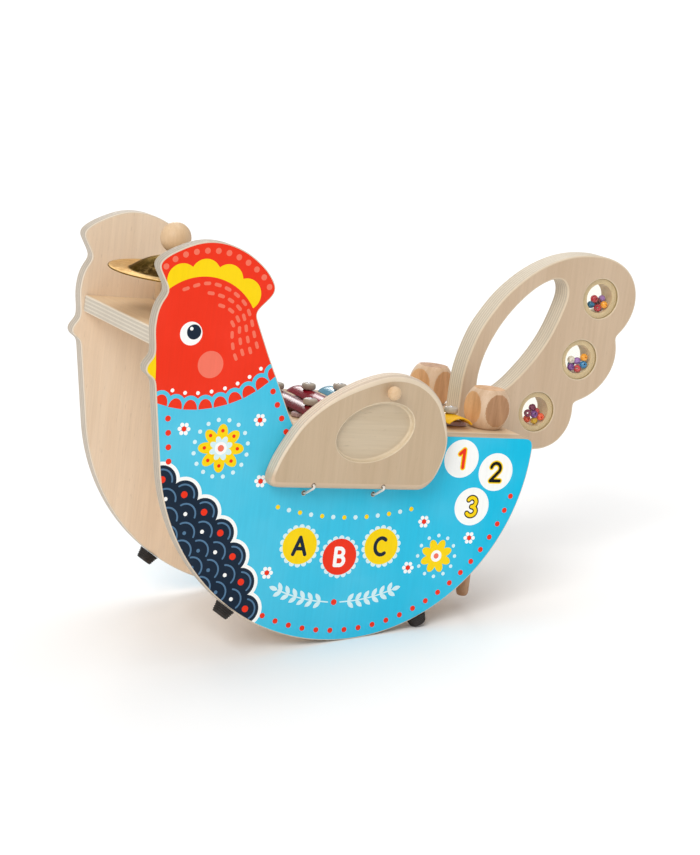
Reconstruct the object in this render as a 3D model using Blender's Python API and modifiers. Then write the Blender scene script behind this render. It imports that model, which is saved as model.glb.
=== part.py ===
"""Wooden musical chicken toy: a rocking body with a cymbal, a xylophone,
a wing clapper on one side, two mallets and a rattle tail.

Everything is laid out in the toy's own level frame in millimetres: x runs
from the beak to the tail, y across the body, z up, with the centre of the
round belly at x = z = 0.  The whole layout hangs on one empty, which is
rocked back onto the two rear feet and stood on the ground.
"""
import bpy
import bmesh
from math import sin, cos, tan, atan2, radians, degrees, pi, sqrt
from mathutils import Vector, Matrix

# ---------------------------------------------------------------- dimensions
MM = 0.001
GAP = 0.3                  # clearance between pieces that touch

BELLY_R = 150.0            # radius of the rocking edge of both side panels
BODY_W = 160.0             # across the outer faces of the side panels
PANEL_T = 12.0             # side panel thickness
HALF = BODY_W / 2
INNER = HALF - PANEL_T     # half of the clear width inside
DECK_TOP = 5.0             # top of the deck and of the body's long edge
DECK_T = 12.0
ROCK_BACK = 7.85           # degrees, how far the toy leans on its rear feet

SHELF_FRONT, SHELF_BACK = -159.5, -105.3
SHELF_TOP, SHELF_BOTTOM = 71.8, 59.5
NECK_FRONT, NECK_BACK = -105.0, -93.0
NECK_TOP = 96.0

CYMBAL_X = -121.0
CYMBAL_R = 46.0
CYMBAL_RIM_Z = 101.9
CYMBAL_TOP = 113.3         # top of the sheet at its centre hole
CYMBAL_DOME_R = 50.0       # radius of the dome's own curve
CYMBAL_DOME_BASE = 31.5    # where the dome meets the flat ring
CYMBAL_HOLE = 4.8
CYMBAL_TILT = 2.5          # degrees, how the cymbal hangs on its washer
CYMBAL_PIVOT = 112.8
BALL_R = 11.2
BALL_Z = 126.6

TAIL_T = 20.0
WINDOWS = [(237.0, 103.0), (225.3, 54.2), (192.7, 11.4)]
WINDOW_R = 15.7            # the counterbore that each lens sits in
WINDOW_STEP = 2.1
WINDOW_BORE = 11.4
LENS_T = 1.6
LENS_RECESS = 0.2
BEAD_R = 3.08

WING_T = 14.0
WING_GAP = 0.4
WING_HINGE_Z = -33.7
WING_HINGE_Y = HALF + 0.15
WING_ROUND = 5.5           # round-over along the wing's lower outer edge
RECESS_X, RECESS_Z = 9.0, 8.6
RECESS_A, RECESS_B, RECESS_TILT, RECESS_D = 31.3, 20.2, 19.4, 4.0
KNOB_X, KNOB_Z, KNOB_R = 17.0, 38.6, 5.4
CORD_X = (-34.9, 21.0)
CORD_HOLE_Z = -40.0
CORD_WING_Z = -30.9
CORD_R = 0.95

MALLET_X, MALLET_Y = 127.0, 45.0
HEAD_W, HEAD_H = 13.6, 15.0    # half of a mallet head's width and height
HEAD_R, HEAD_RZ = 17.4, 19.9   # the egg that rounds its corners off
STICK_R = 4.75
STICK_BOTTOM, STICK_TOP = -126.0, 12.0

BAR_X0, BAR_PITCH = -13.3, 28.0
BAR_W, BAR_SAG, BAR_T = 20.5, 4.5, 1.2
BAR_BOTTOM = 9.7
BAR_HALF_SPACING = [29.5, 32.4, 35.3, 38.2, 41.1]
BAR_OVERHANG = 17.0
FELT_T = 3.3
PIN_R = 1.5

FOOT_ANGLES = {"front": -33.5, "rear": 28.5}
FOOT_BASE_R, FOOT_TIP_R = 7.9, 6.0

COLORS = {
    "panel_wood": ((0.78, 0.60, 0.40), 0.55, 0.0),
    "board_wood": ((0.76, 0.58, 0.38), 0.55, 0.0),
    "tail_wood": ((0.75, 0.57, 0.38), 0.55, 0.0),
    "wing_wood": ((0.74, 0.57, 0.39), 0.55, 0.0),
    "knob_wood": ((0.84, 0.66, 0.44), 0.45, 0.0),
    "mallet_wood": ((0.66, 0.43, 0.25), 0.50, 0.0),
    "stick_wood": ((0.62, 0.40, 0.25), 0.50, 0.0),
    "cymbal_brass": ((0.55, 0.42, 0.17), 0.30, 1.0),
    "felt": ((0.62, 0.50, 0.50), 0.95, 0.0),
    "bar_dark_red": ((0.22, 0.01, 0.03), 0.20, 0.3),
    "bar_red": ((0.50, 0.03, 0.06), 0.20, 0.3),
    "bar_blue": ((0.08, 0.28, 0.40), 0.20, 0.3),
    "bar_green": ((0.10, 0.35, 0.10), 0.20, 0.3),
    "bar_yellow": ((0.85, 0.50, 0.03), 0.20, 0.3),
    "pad_rubber": ((0.45, 0.41, 0.36), 0.60, 0.0),
    "foot_rubber": ((0.02, 0.018, 0.016), 0.60, 0.0),
    "clear_plastic": ((0.90, 0.92, 0.93), 0.08, 0.0),
    "bead_mix": ((0.60, 0.12, 0.20), 0.25, 0.0),
    "cord_white": ((0.88, 0.86, 0.82), 0.80, 0.0),
}

# -------------------------------------------------------------------- scene
for ob in list(bpy.data.objects):
    bpy.data.objects.remove(ob, do_unlink=True)

parts = bpy.data.collections.new("musical_chicken")
cutters = bpy.data.collections.new("cutters")
bpy.context.scene.collection.children.link(parts)
bpy.context.scene.collection.children.link(cutters)

toy = bpy.data.objects.new("toy_frame", None)
parts.objects.link(toy)
toy.rotation_euler = (0.0, radians(ROCK_BACK), 0.0)


def material(slot, name):
    color, rough, metal = COLORS[slot]
    m = bpy.data.materials.new(name + "_" + slot)
    m.use_nodes = True
    b = m.node_tree.nodes["Principled BSDF"]
    b.inputs["Base Color"].default_value = (*color, 1.0)
    b.inputs["Roughness"].default_value = rough
    b.inputs["Metallic"].default_value = metal
    if slot == "clear_plastic":
        b.inputs["Transmission Weight"].default_value = 0.9
    m.diffuse_color = (*color, 1.0)
    return m


def finish(ob, slot, origin=(0.0, 0.0, 0.0), rot=(0.0, 0.0, 0.0), smooth=None):
    """Hang a piece on the toy's empty with its origin at a layout point."""
    ob.data.materials.clear()
    ob.data.materials.append(material(slot, ob.name))
    ob.parent = toy
    ob.location = Vector(origin) * MM
    ob.rotation_euler = rot
    if smooth is not None:
        ob.data.shade_smooth()
        ob.data.set_sharp_from_angle(angle=radians(smooth))
    return ob


def mesh_object(name, bm, collection=parts):
    bmesh.ops.recalc_face_normals(bm, faces=bm.faces)
    me = bpy.data.meshes.new(name)
    bm.to_mesh(me)
    bm.free()
    ob = bpy.data.objects.new(name, me)
    collection.objects.link(ob)
    if collection is cutters:
        ob.hide_render = True
        ob.display_type = "WIRE"
    return ob


def arc(cx, cz, r, a0, a1, n):
    return [(cx + r * cos(radians(a0 + (a1 - a0) * i / n)),
             cz + r * sin(radians(a0 + (a1 - a0) * i / n))) for i in range(n + 1)]


def smooth_run(pts, steps=3):
    """An open Catmull-Rom run through the design points."""
    out = []
    n = len(pts)
    for i in range(n - 1):
        p0 = Vector(pts[max(i - 1, 0)])
        p1 = Vector(pts[i])
        p2 = Vector(pts[i + 1])
        p3 = Vector(pts[min(i + 2, n - 1)])
        for k in range(steps):
            t = k / steps
            q = (p1 * 2 + (p2 - p0) * t + (p0 * 2 - p1 * 5 + p2 * 4 - p3) * t * t
                 + (p1 * 3 - p0 - p2 * 3 + p3) * t * t * t) * 0.5
            out.append(tuple(q))
    out.append(tuple(pts[-1]))
    return out


def clean(pts, tol=0.35):
    """Drop points that nearly repeat their neighbour on a closed outline."""
    out = []
    for p in pts:
        if not out or (Vector(p) - Vector(out[-1])).length > tol:
            out.append(p)
    while len(out) > 3 and (Vector(out[0]) - Vector(out[-1])).length <= tol:
        out.pop()
    return out


def circle(cx, cz, r, n):
    return [(cx + r * cos(2 * pi * i / n), cz + r * sin(2 * pi * i / n)) for i in range(n)]


def flat_plate(name, outline, holes, lo, hi, upright=True):
    """A flat outline, filled and extruded.

    Upright plates lie in the x-z plane and run from y = lo to hi; the others
    lie in the x-y plane and run from z = lo to hi.
    """
    cu = bpy.data.curves.new(name, "CURVE")
    cu.dimensions = "2D"
    cu.fill_mode = "BOTH"
    cu.extrude = (hi - lo) / 2 * MM
    for ring in [outline] + list(holes):
        sp = cu.splines.new("POLY")
        sp.points.add(len(ring) - 1)
        for p, (a, b) in zip(sp.points, ring):
            p.co = (a * MM, b * MM, 0.0, 1.0)
        sp.use_cyclic_u = True
    tmp = bpy.data.objects.new(name + "_outline", cu)
    parts.objects.link(tmp)
    dg = bpy.context.evaluated_depsgraph_get()
    me = bpy.data.meshes.new_from_object(tmp.evaluated_get(dg))
    bpy.data.objects.remove(tmp, do_unlink=True)
    bm = bmesh.new()
    bm.from_mesh(me)
    bpy.data.meshes.remove(me)
    bmesh.ops.remove_doubles(bm, verts=bm.verts, dist=0.00001)
    mid = (lo + hi) / 2 * MM
    if upright:
        bm.transform(Matrix.Translation((0.0, mid, 0.0)) @ Matrix.Rotation(pi / 2, 4, "X"))
    else:
        bm.transform(Matrix.Translation((0.0, 0.0, mid)))
    return mesh_object(name, bm)


def box(name, x0, x1, y0, y1, z0, z1, bevel=0.0, collection=parts):
    bm = bmesh.new()
    bmesh.ops.create_cube(bm, size=1.0)
    bmesh.ops.scale(bm, vec=Vector((x1 - x0, y1 - y0, z1 - z0)) * MM, verts=bm.verts)
    bmesh.ops.translate(bm, vec=Vector((x0 + x1, y0 + y1, z0 + z1)) * MM / 2, verts=bm.verts)
    if bevel:
        bmesh.ops.bevel(bm, geom=list(bm.edges), offset=bevel * MM, segments=1, affect="EDGES")
    return mesh_object(name, bm, collection)


def turned(name, profile, steps):
    """A turned piece: the (radius, height) profile runs top to bottom."""
    me = bpy.data.meshes.new(name)
    n = len(profile)
    closed = profile[0][0] > 0.0
    edges = [(i, i + 1) for i in range(n - 1)] + ([(n - 1, 0)] if closed else [])
    me.from_pydata([(r * MM, 0.0, z * MM) for r, z in profile], edges, [])
    ob = bpy.data.objects.new(name, me)
    parts.objects.link(ob)
    m = ob.modifiers.new("turn", "SCREW")
    m.axis = "Z"
    m.angle = 2 * pi
    m.steps = steps
    m.render_steps = steps
    m.use_merge_vertices = True
    m.merge_threshold = 0.00001
    m.use_smooth_shade = True
    return ob


def cylinder_cutter(name, r, depth, centre, axis="Y", n=16):
    bm = bmesh.new()
    bmesh.ops.create_cone(bm, cap_ends=True, segments=n, radius1=r * MM, radius2=r * MM,
                          depth=depth * MM)
    if axis == "Y":
        bm.transform(Matrix.Rotation(pi / 2, 4, "X"))
    bmesh.ops.translate(bm, vec=Vector(centre) * MM, verts=bm.verts)
    return mesh_object(name, bm, cutters)


def cut(ob, cutter, op="DIFFERENCE"):
    m = ob.modifiers.new("cut_" + cutter.name, "BOOLEAN")
    m.operation = op
    m.solver = "EXACT"
    m.object = cutter


def bake(ob):
    """Replace a piece's mesh by its evaluated one and drop its modifiers."""
    bpy.context.view_layer.update()
    dg = bpy.context.evaluated_depsgraph_get()
    me = bpy.data.meshes.new_from_object(ob.evaluated_get(dg))
    ob.modifiers.clear()
    old = ob.data
    ob.data = me
    bpy.data.meshes.remove(old)
    me.name = ob.name
    return ob


def drop_cutters():
    for ob in list(cutters.objects):
        bpy.data.objects.remove(ob, do_unlink=True)


def shift_mesh(ob, origin):
    ob.data.transform(Matrix.Translation(-Vector(origin) * MM))


# -------------------------------------------------------------- side panels
def panel_outline():
    lean = 9.6                                   # degrees, front edge
    a_end = -(180.0 - lean)
    pts = arc(BELLY_R - 5.1, 0.0, 5.1, 90.0, 0.0, 4)
    pts += arc(0.0, 0.0, BELLY_R, 0.0, a_end, 42)[1:]
    x0, z0 = pts[-1]
    zb = 37.0
    pts.append((x0 - (zb - z0) * tan(radians(lean)), zb))
    # beak, face and comb
    head = [(-159.5, 38.6), (-164.2, 41.0), (-166.4, 44.8), (-164.8, 49.0), (-161.0, 54.0),
            (-161.0, 60.0), (-162.0, 66.5), (-162.8, 73.0), (-162.6, 80.0), (-161.7, 86.0),
            (-159.8, 91.5), (-156.8, 96.5), (-155.6, 100.0), (-157.4, 104.0), (-161.2, 110.5),
            (-164.0, 115.5), (-163.2, 119.3), (-157.7, 124.1), (-150.8, 128.0), (-143.8, 131.2),
            (-136.5, 133.8), (-128.7, 135.2), (-121.0, 135.2), (-113.5, 134.1), (-106.0, 131.8),
            (-98.3, 128.4), (-90.5, 123.4), (-83.6, 117.7), (-78.4, 111.3), (-75.8, 106.3),
            (-76.2, 102.2), (-79.3, 97.8), (-83.0, 94.0), (-86.4, 90.2), (-88.2, 86.8),
            (-86.6, 82.6), (-82.4, 73.7)]
    pts += smooth_run(head, 2)
    # neck line down to the deck edge
    pts += smooth_run([(-82.4, 73.7), (-73.9, 56.0), (-63.6, 36.0), (-53.4, 15.9),
                       (-49.2, 8.7), (-45.2, 5.9), (-40.5, DECK_TOP + 0.1)], 2)[1:]
    return clean(pts)


PANEL = panel_outline()
for side, sgn in (("left", -1.0), ("right", 1.0)):
    # only the left panel is drilled for the wing's cords
    holes = [circle(x, CORD_HOLE_Z, 1.6, 10) for x in CORD_X] if side == "left" else []
    lo, hi = sorted((sgn * INNER, sgn * HALF))
    finish(flat_plate(side + "_side_panel", PANEL, holes, lo, hi), "panel_wood")

# ------------------------------------------------- boards between the panels
B = INNER - GAP
finish(flat_plate("head_shelf",
                  [(SHELF_FRONT, -B), (SHELF_BACK, -B), (SHELF_BACK, B), (SHELF_FRONT, B)],
                  [circle(CYMBAL_X, 0.0, 4.3, 16)], SHELF_BOTTOM, SHELF_TOP, upright=False),
       "board_wood")
finish(box("neck_board", NECK_FRONT, NECK_BACK, -B, B, SHELF_BOTTOM, NECK_TOP), "board_wood")

slot = TAIL_T / 2 + GAP
deck_line = [(-62.0, -B), (145.0, -B), (145.0, -slot), (122.0, -slot), (122.0, slot),
             (145.0, slot), (145.0, B), (-62.0, B)]
BAR_XS = [BAR_X0 + BAR_PITCH * i for i in range(5)]
deck_holes = [circle(BAR_XS[i], s * BAR_HALF_SPACING[i], 1.8, 8)
              for i in range(5) for s in (-1, 1)]
deck_holes += [circle(MALLET_X, s * MALLET_Y, STICK_R + 0.9, 16) for s in (-1, 1)]
finish(flat_plate("rear_deck", deck_line, deck_holes, DECK_TOP - DECK_T, DECK_TOP,
                  upright=False), "board_wood")
finish(box("rear_tie", 135.5, 145.5, -B, B, -42.0, -20.8), "board_wood")

for name, x, z in (("front_belly_rail", -58.0, -104.0), ("rear_belly_rail", 58.0, -104.0)):
    ob = turned(name, [(0.0, B), (8.0, B), (8.0, -B), (0.0, -B)], 20)
    finish(ob, "board_wood", (x, 0.0, z), (pi / 2, 0.0, 0.0), 40)

# ------------------------------------------------------------------- cymbal
post = turned("cymbal_post",
              [(0.0, 121.0), (3.0, 121.0), (3.4, 120.4), (3.4, 106.8), (6.5, 106.8),
               (7.0, 106.2), (7.0, SHELF_TOP + GAP), (4.0, SHELF_TOP + GAP), (4.0, 60.5),
               (0.0, 60.5)], 20)
finish(post, "knob_wood", (CYMBAL_X, 0.0, 0.0), smooth=40)
felt = turned("cymbal_felt", [(4.4, 110.7), (8.2, 110.7), (8.8, 109.7), (8.2, 107.7),
                              (4.4, 107.7)], 20)
finish(felt, "felt", (CYMBAL_X, 0.0, 0.0), smooth=40)


def cymbal_profile():
    """A wide dome, then a nearly flat ring out to the rim; the sheet is 1 mm.

    The heights are measured from the cymbal's pivot.
    """
    top = []
    drop = sqrt(CYMBAL_DOME_R ** 2 - CYMBAL_HOLE ** 2)
    for i in range(8):
        r = CYMBAL_HOLE + (CYMBAL_DOME_BASE - CYMBAL_HOLE) * i / 7
        top.append((r, CYMBAL_TOP - drop + sqrt(CYMBAL_DOME_R ** 2 - r ** 2)))
    for i in range(1, 3):
        t = i / 2
        top.append((CYMBAL_DOME_BASE + (CYMBAL_R - CYMBAL_DOME_BASE) * t,
                    top[7][1] + (CYMBAL_RIM_Z - top[7][1]) * t))
    return ([(r, z - CYMBAL_PIVOT) for r, z in top]
            + [(r, z - 1.0 - CYMBAL_PIVOT) for r, z in reversed(top)])


finish(turned("cymbal", cymbal_profile(), 36), "cymbal_brass", (CYMBAL_X, 0.0, CYMBAL_PIVOT),
       (radians(CYMBAL_TILT), 0.0, 0.0), 35)

ball_bm = bmesh.new()
bmesh.ops.create_uvsphere(ball_bm, u_segments=20, v_segments=12, radius=BALL_R * MM)
ball = mesh_object("cymbal_ball", ball_bm)
ball_cut = cylinder_cutter("ball_bore", 3.8, 12.0, (0.0, 0.0, -11.3), "Z", 16)
cut(ball, ball_cut)
bake(ball)
drop_cutters()
finish(ball, "knob_wood", (CYMBAL_X, 0.0, BALL_Z), smooth=40)


# --------------------------------------------------------------------- tail
def tail_outline():
    pts = smooth_run([(122.5, -6.0), (122.6, 13.0), (123.6, 40.6), (130.9, 67.4),
                      (140.4, 85.2), (154.0, 103.0), (172.0, 118.6), (190.0, 128.8),
                      (207.0, 134.4), (222.0, 136.2), (237.3, 135.6), (250.8, 131.6),
                      (260.9, 124.6), (267.5, 114.6), (269.8, 103.0), (268.2, 92.0),
                      (263.0, 81.4), (255.7, 73.2)], 3)
    pts += smooth_run([(255.7, 73.2), (258.1, 64.5), (258.1, 54.5), (254.9, 44.2),
                       (248.2, 34.2), (238.3, 25.8), (225.2, 19.8)], 3)
    pts += smooth_run([(225.2, 19.8), (225.6, 9.5), (222.6, -1.6), (214.8, -11.6),
                       (204.4, -17.0), (193.0, -18.6), (170.0, -19.8), (148.0, -20.4),
                       (132.0, -20.3), (125.5, -17.0), (122.5, -6.0)], 3)[:-1]
    return clean(pts)


def leaf_outline():
    pts = smooth_run([(136.4, 31.0), (137.2, 43.0), (141.2, 58.4), (149.6, 76.0),
                      (161.2, 92.3), (175.7, 106.6), (188.4, 114.4), (197.6, 116.6),
                      (203.8, 113.4), (206.6, 105.6), (204.6, 94.6), (197.0, 73.8),
                      (186.4, 55.6), (173.2, 39.2), (162.6, 29.0), (152.6, 23.4),
                      (143.6, 21.8), (138.0, 24.6), (136.4, 31.0)], 3)[:-1]
    return clean(pts)


tail_holes = [leaf_outline()] + [circle(x, z, WINDOW_BORE, 32) for x, z in WINDOWS]
tail = flat_plate("tail_panel", tail_outline(), tail_holes, -TAIL_T / 2, TAIL_T / 2)
for k, (wx, wz) in enumerate(WINDOWS):                 # the step that each lens rests on
    for side, sgn in (("left", -1.0), ("right", 1.0)):
        cut(tail, cylinder_cutter("window_%d_%s_step" % (k + 1, side), WINDOW_R,
                                  WINDOW_STEP + 4.0,
                                  (wx, sgn * (TAIL_T / 2 - WINDOW_STEP / 2 + 2.0), wz), "Y", 32))
bake(tail)
drop_cutters()
finish(tail, "tail_wood")

lens_r = WINDOW_R - GAP
for k, (wx, wz) in enumerate(WINDOWS):
    for side, sgn in (("left", -1.0), ("right", 1.0)):
        name = "window_%d_%s_lens" % (k + 1, side)
        y = sgn * (TAIL_T / 2 - LENS_RECESS - LENS_T / 2)
        ob = turned(name, [(0.0, LENS_T / 2), (lens_r, LENS_T / 2), (lens_r, -LENS_T / 2),
                           (0.0, -LENS_T / 2)], 24)
        finish(ob, "clear_plastic", (wx, y, wz), (pi / 2, 0.0, 0.0), 40)

# Where each bead rests, measured from its window's centre.  The beads of one
# window are drawn a little large and a little close, so that they join.
BEAD_LAYOUT = [
    [(-3.0, -5.2, -0.8), (7.5, 0.4, -1.2), (2.4, -1.6, -3.2), (-3.5, -2.3, -5.8),
     (6.7, -5.1, -5.1), (1.2, -5.1, -7.8), (3.8, 3.5, -5.8)],
    [(-2.8, -2.3, -1.5), (3.0, -1.8, -2.3), (-3.5, -4.4, -6.9), (2.6, -4.1, -8.0),
     (7.2, -5.2, -4.5), (7.0, -5.1, 1.3), (0.5, 2.1, -5.9)],
    [(1.0, -1.5, 1.8), (-4.8, -5.2, -2.0), (1.0, -5.2, -2.7), (-2.3, -1.0, -7.3),
     (2.8, -3.6, -8.0), (7.2, -5.2, -4.5), (5.7, -0.3, -1.5)],
]
BEAD_PACK = 0.965


def bead_cluster(name, layout):
    """The loose beads of one window, joined into one body."""
    base = None
    for k, centre in enumerate(layout):
        bm = bmesh.new()
        bmesh.ops.create_icosphere(bm, subdivisions=2, radius=BEAD_R * MM)
        bm.transform(Matrix.Rotation(0.37 * k + 0.11, 4, "Y"))
        bmesh.ops.translate(bm, verts=bm.verts, vec=Vector(centre) * MM * BEAD_PACK)
        if base is None:
            base = mesh_object(name, bm)
        else:
            cut(base, mesh_object("%s_%d" % (name, k), bm, cutters), "UNION")
    bake(base)
    drop_cutters()
    return base


for k, (wx, wz) in enumerate(WINDOWS):
    finish(bead_cluster("window_%d_beads" % (k + 1), BEAD_LAYOUT[k]), "bead_mix",
           (wx, 0.0, wz), smooth=40)


# -------------------------------------------------------------------- wings
def wing_outline():
    top = smooth_run([(-68.8, -28.6), (-65.2, -16.6), (-59.0, -3.7), (-48.8, 12.2),
                      (-35.2, 25.3), (-20.8, 35.6), (-6.2, 43.5), (7.8, 48.5), (19.5, 50.7),
                      (32.1, 50.0), (43.6, 46.3), (53.8, 39.6), (62.6, 29.3), (67.4, 14.6),
                      (69.0, 1.4), (67.2, -11.0), (63.6, -20.6), (59.2, -28.6)], 2)
    right = smooth_run([(59.2, -28.6), (56.4, -31.8), (51.6, WING_HINGE_Z)], 2)[1:]
    left = smooth_run([(-63.2, WING_HINGE_Z), (-67.8, -32.2), (-68.8, -28.6)], 2)[:-1]
    return clean(top + right + left)


WING = wing_outline()
for side, sgn in (("left", -1.0),):
    y_in, y_out = sgn * (HALF + WING_GAP), sgn * (HALF + WING_GAP + WING_T)
    lo, hi = sorted((y_in, y_out))
    wing = flat_plate(side + "_wing", WING, [], lo, hi)
    # round the lower outer edge over
    bm = bmesh.new()
    bm.from_mesh(wing.data)
    edges = [e for e in bm.edges
             if all(abs(v.co.y - y_out * MM) < 1e-5 and v.co.z < (WING_HINGE_Z + 0.01) * MM
                    for v in e.verts)]
    bmesh.ops.bevel(bm, geom=edges, offset=WING_ROUND * MM, segments=4, profile=0.5,
                    affect="EDGES")
    bmesh.ops.recalc_face_normals(bm, faces=bm.faces)
    bm.to_mesh(wing.data)
    bm.free()
    # oval dish
    bm = bmesh.new()
    bmesh.ops.create_cone(bm, cap_ends=True, segments=40, radius1=RECESS_B * 1.06 * MM,
                          radius2=(RECESS_B * 1.06 - 5.0) * MM, depth=2 * RECESS_D * MM)
    bmesh.ops.scale(bm, vec=(RECESS_A / RECESS_B, 1.0, 1.0), verts=bm.verts)
    flip = Matrix.Rotation(-sgn * pi / 2 + pi, 4, "X")
    bm.transform(Matrix.Translation(Vector((RECESS_X, y_out, RECESS_Z)) * MM)
                 @ Matrix.Rotation(-radians(RECESS_TILT), 4, "Y") @ flip)
    cut(wing, mesh_object(side + "_dish", bm, cutters))
    for k, x in enumerate(CORD_X):
        cut(wing, cylinder_cutter("%s_cord_hole_%d" % (side, k), 1.7, 40.0,
                                  (x, sgn * (HALF + 8.0), CORD_WING_Z), "Y", 12))
    bake(wing)
    drop_cutters()
    hinge = (0.0, sgn * WING_HINGE_Y, WING_HINGE_Z)
    shift_mesh(wing, hinge)
    finish(wing, "wing_wood", hinge, smooth=40)

    face = HALF + WING_GAP + WING_T
    knob = turned(side + "_wing_knob",
                  [(0.0, KNOB_R * 2 + 0.5)]
                  + [(KNOB_R * cos(radians(a)), KNOB_R + 0.5 + KNOB_R * sin(radians(a)))
                     for a in (67.5, 45.0, 22.5, 0.0, -22.5, -45.0)]
                  + [(2.6, GAP), (0.0, GAP)], 16)
    bake(knob)
    knob.data.transform(Matrix.Rotation(-sgn * pi / 2, 4, "X"))
    finish(knob, "knob_wood", (KNOB_X, sgn * face, KNOB_Z), smooth=40)

    for k, x in enumerate(CORD_X):
        route = [(62.8, CORD_HOLE_Z), (65.0, CORD_HOLE_Z), (67.2, CORD_HOLE_Z),
                 (76.0, CORD_HOLE_Z), (81.0, CORD_HOLE_Z + 0.1), (85.2, -38.9), (89.6, -37.2),
                 (93.4, -35.4), (95.8, -33.6), (96.2, -32.0), (95.3, -31.05),
                 (93.4, CORD_WING_Z), (87.0, CORD_WING_Z)]
        cu = bpy.data.curves.new("cord", "CURVE")
        cu.dimensions = "3D"
        cu.bevel_depth = CORD_R * MM
        cu.bevel_resolution = 2
        cu.use_fill_caps = True
        sp = cu.splines.new("POLY")
        sp.points.add(len(route) - 1)
        for i, (y, z) in enumerate(route):
            sp.points[i].co = (x * MM, sgn * y * MM, z * MM, 1.0)
            sp.points[i].radius = 2.3 if i == 0 else (2.5 if i == 1 else 1.0)
        tmp = bpy.data.objects.new("cord_tmp", cu)
        parts.objects.link(tmp)
        bpy.context.view_layer.update()
        dg = bpy.context.evaluated_depsgraph_get()
        me = bpy.data.meshes.new_from_object(tmp.evaluated_get(dg))
        bpy.data.objects.remove(tmp, do_unlink=True)
        bm = bmesh.new()
        bm.from_mesh(me)
        bmesh.ops.remove_doubles(bm, verts=bm.verts, dist=0.00001)
        ob = mesh_object("%s_wing_cord_%d" % (side, k + 1), bm)
        finish(ob, "cord_white", smooth=50)

# --------------------------------------------------------------------- feet
# The rear feet's tips and the belly edge reach the ground together.
lean_rear = radians(FOOT_ANGLES["rear"] - ROCK_BACK)
FOOT_REACH = (BELLY_R - FOOT_TIP_R * sin(lean_rear)) / cos(lean_rear)
foot_h = FOOT_REACH - BELLY_R
for where, ang in FOOT_ANGLES.items():
    for side, sgn in (("left", -1.0), ("right", 1.0)):
        a = radians(ang)
        prof = [(0.0, foot_h), (FOOT_TIP_R, foot_h), (FOOT_TIP_R + 0.5, foot_h - 1.2)]
        for i in range(2):                                 # shallow ribs
            z = foot_h - 2.6 - 2.2 * i
            r = FOOT_TIP_R + 0.7 + 0.55 * i
            prof += [(r, z), (r + 0.35, z - 0.9)]
        prof += [(FOOT_BASE_R, GAP), (0.0, GAP)]
        ob = turned("%s_%s_foot" % (where, side), prof, 16)
        # the foot points out along the belly's radius
        out = Vector((sin(a), 0.0, -cos(a)))
        rot = out.to_track_quat("Z", "Y").to_euler()
        finish(ob, "foot_rubber",
               (BELLY_R * sin(a), sgn * (HALF - PANEL_T / 2), -BELLY_R * cos(a)), rot, 40)

# ------------------------------------------------------------------ mallets
for side, sgn, spin in (("left", -1.0, 6.0), ("right", 1.0, 19.0)):
    bm = bmesh.new()
    bmesh.ops.create_uvsphere(bm, u_segments=24, v_segments=14, radius=HEAD_R * MM)
    bmesh.ops.scale(bm, vec=(1.0, 1.0, HEAD_RZ / HEAD_R), verts=bm.verts)
    head = mesh_object(side + "_mallet_head", bm)
    bm = bmesh.new()
    bmesh.ops.create_cube(bm, size=2 * MM)
    bmesh.ops.scale(bm, vec=(HEAD_W, HEAD_W, HEAD_H), verts=bm.verts)
    bm.transform(Matrix.Rotation(0.003, 4, "Z"))
    cut(head, mesh_object(side + "_head_block", bm, cutters), "INTERSECT")
    cut(head, cylinder_cutter(side + "_head_bore", STICK_R + GAP, 20.0,
                              (0.0, 0.0, -HEAD_H + 7.3 - 10.0), "Z", 16))
    bake(head)
    drop_cutters()
    z_head = DECK_TOP + GAP + HEAD_H
    finish(head, "mallet_wood", (MALLET_X, sgn * MALLET_Y, z_head),
           (0.0, 0.0, radians(spin)), 30)
    top = STICK_TOP
    prof = [(0.0, top), (STICK_R, top)]
    prof += [(STICK_R, STICK_BOTTOM + 3.5), (STICK_R * 0.92, STICK_BOTTOM + 1.6),
             (STICK_R * 0.66, STICK_BOTTOM + 0.4), (0.0, STICK_BOTTOM)]
    ob = turned(side + "_mallet_stick", [(r, z) for r, z in prof], 16)
    finish(ob, "stick_wood", (MALLET_X, sgn * MALLET_Y, 0.0), smooth=40)

# ---------------------------------------------------------------- xylophone
bar_slots = ["bar_dark_red", "bar_red", "bar_blue", "bar_green", "bar_yellow"]
r_out = BAR_W ** 2 / (8 * BAR_SAG) + BAR_SAG / 2
half_a = degrees(atan2(BAR_W / 2, r_out - BAR_SAG))
zc = BAR_BOTTOM + BAR_SAG - r_out
for i, x in enumerate(BAR_XS):
    s = BAR_HALF_SPACING[i]
    ring = arc(x, zc, r_out, 90 + half_a, 90 - half_a, 8)
    ring += arc(x, zc, r_out - BAR_T, 90 - half_a, 90 + half_a, 8)
    bar = flat_plate("xylophone_bar_%d" % (i + 1), ring, [], -s - BAR_OVERHANG,
                     s + BAR_OVERHANG)
    for k, sgn in enumerate((-1, 1)):
        cut(bar, cylinder_cutter("bar_hole_%d_%d" % (i, k), 2.5, 12.0,
                                 (x, sgn * s, BAR_BOTTOM + BAR_SAG - 1.0), "Z", 12))
    bake(bar)
    drop_cutters()
    finish(bar, bar_slots[i], smooth=40)
    for side, sgn in (("left", -1.0), ("right", 1.0)):
        z0 = BAR_BOTTOM + BAR_SAG + GAP
        prof = [(0.0, z0 + 5.3), (1.3, z0 + 5.2), (1.7, z0 + 4.9), (3.6, z0 + 4.6),
                (4.9, z0 + 3.6), (5.4, z0 + 2.0), (5.2, z0 + 0.4), (4.6, z0), (PIN_R, z0),
                (PIN_R, -4.0), (0.0, -4.0)]
        ob = turned("bar_%d_%s_stud" % (i + 1, side), prof, 10)
        finish(ob, "pad_rubber", (x, sgn * s, 0.0), smooth=50)

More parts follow.
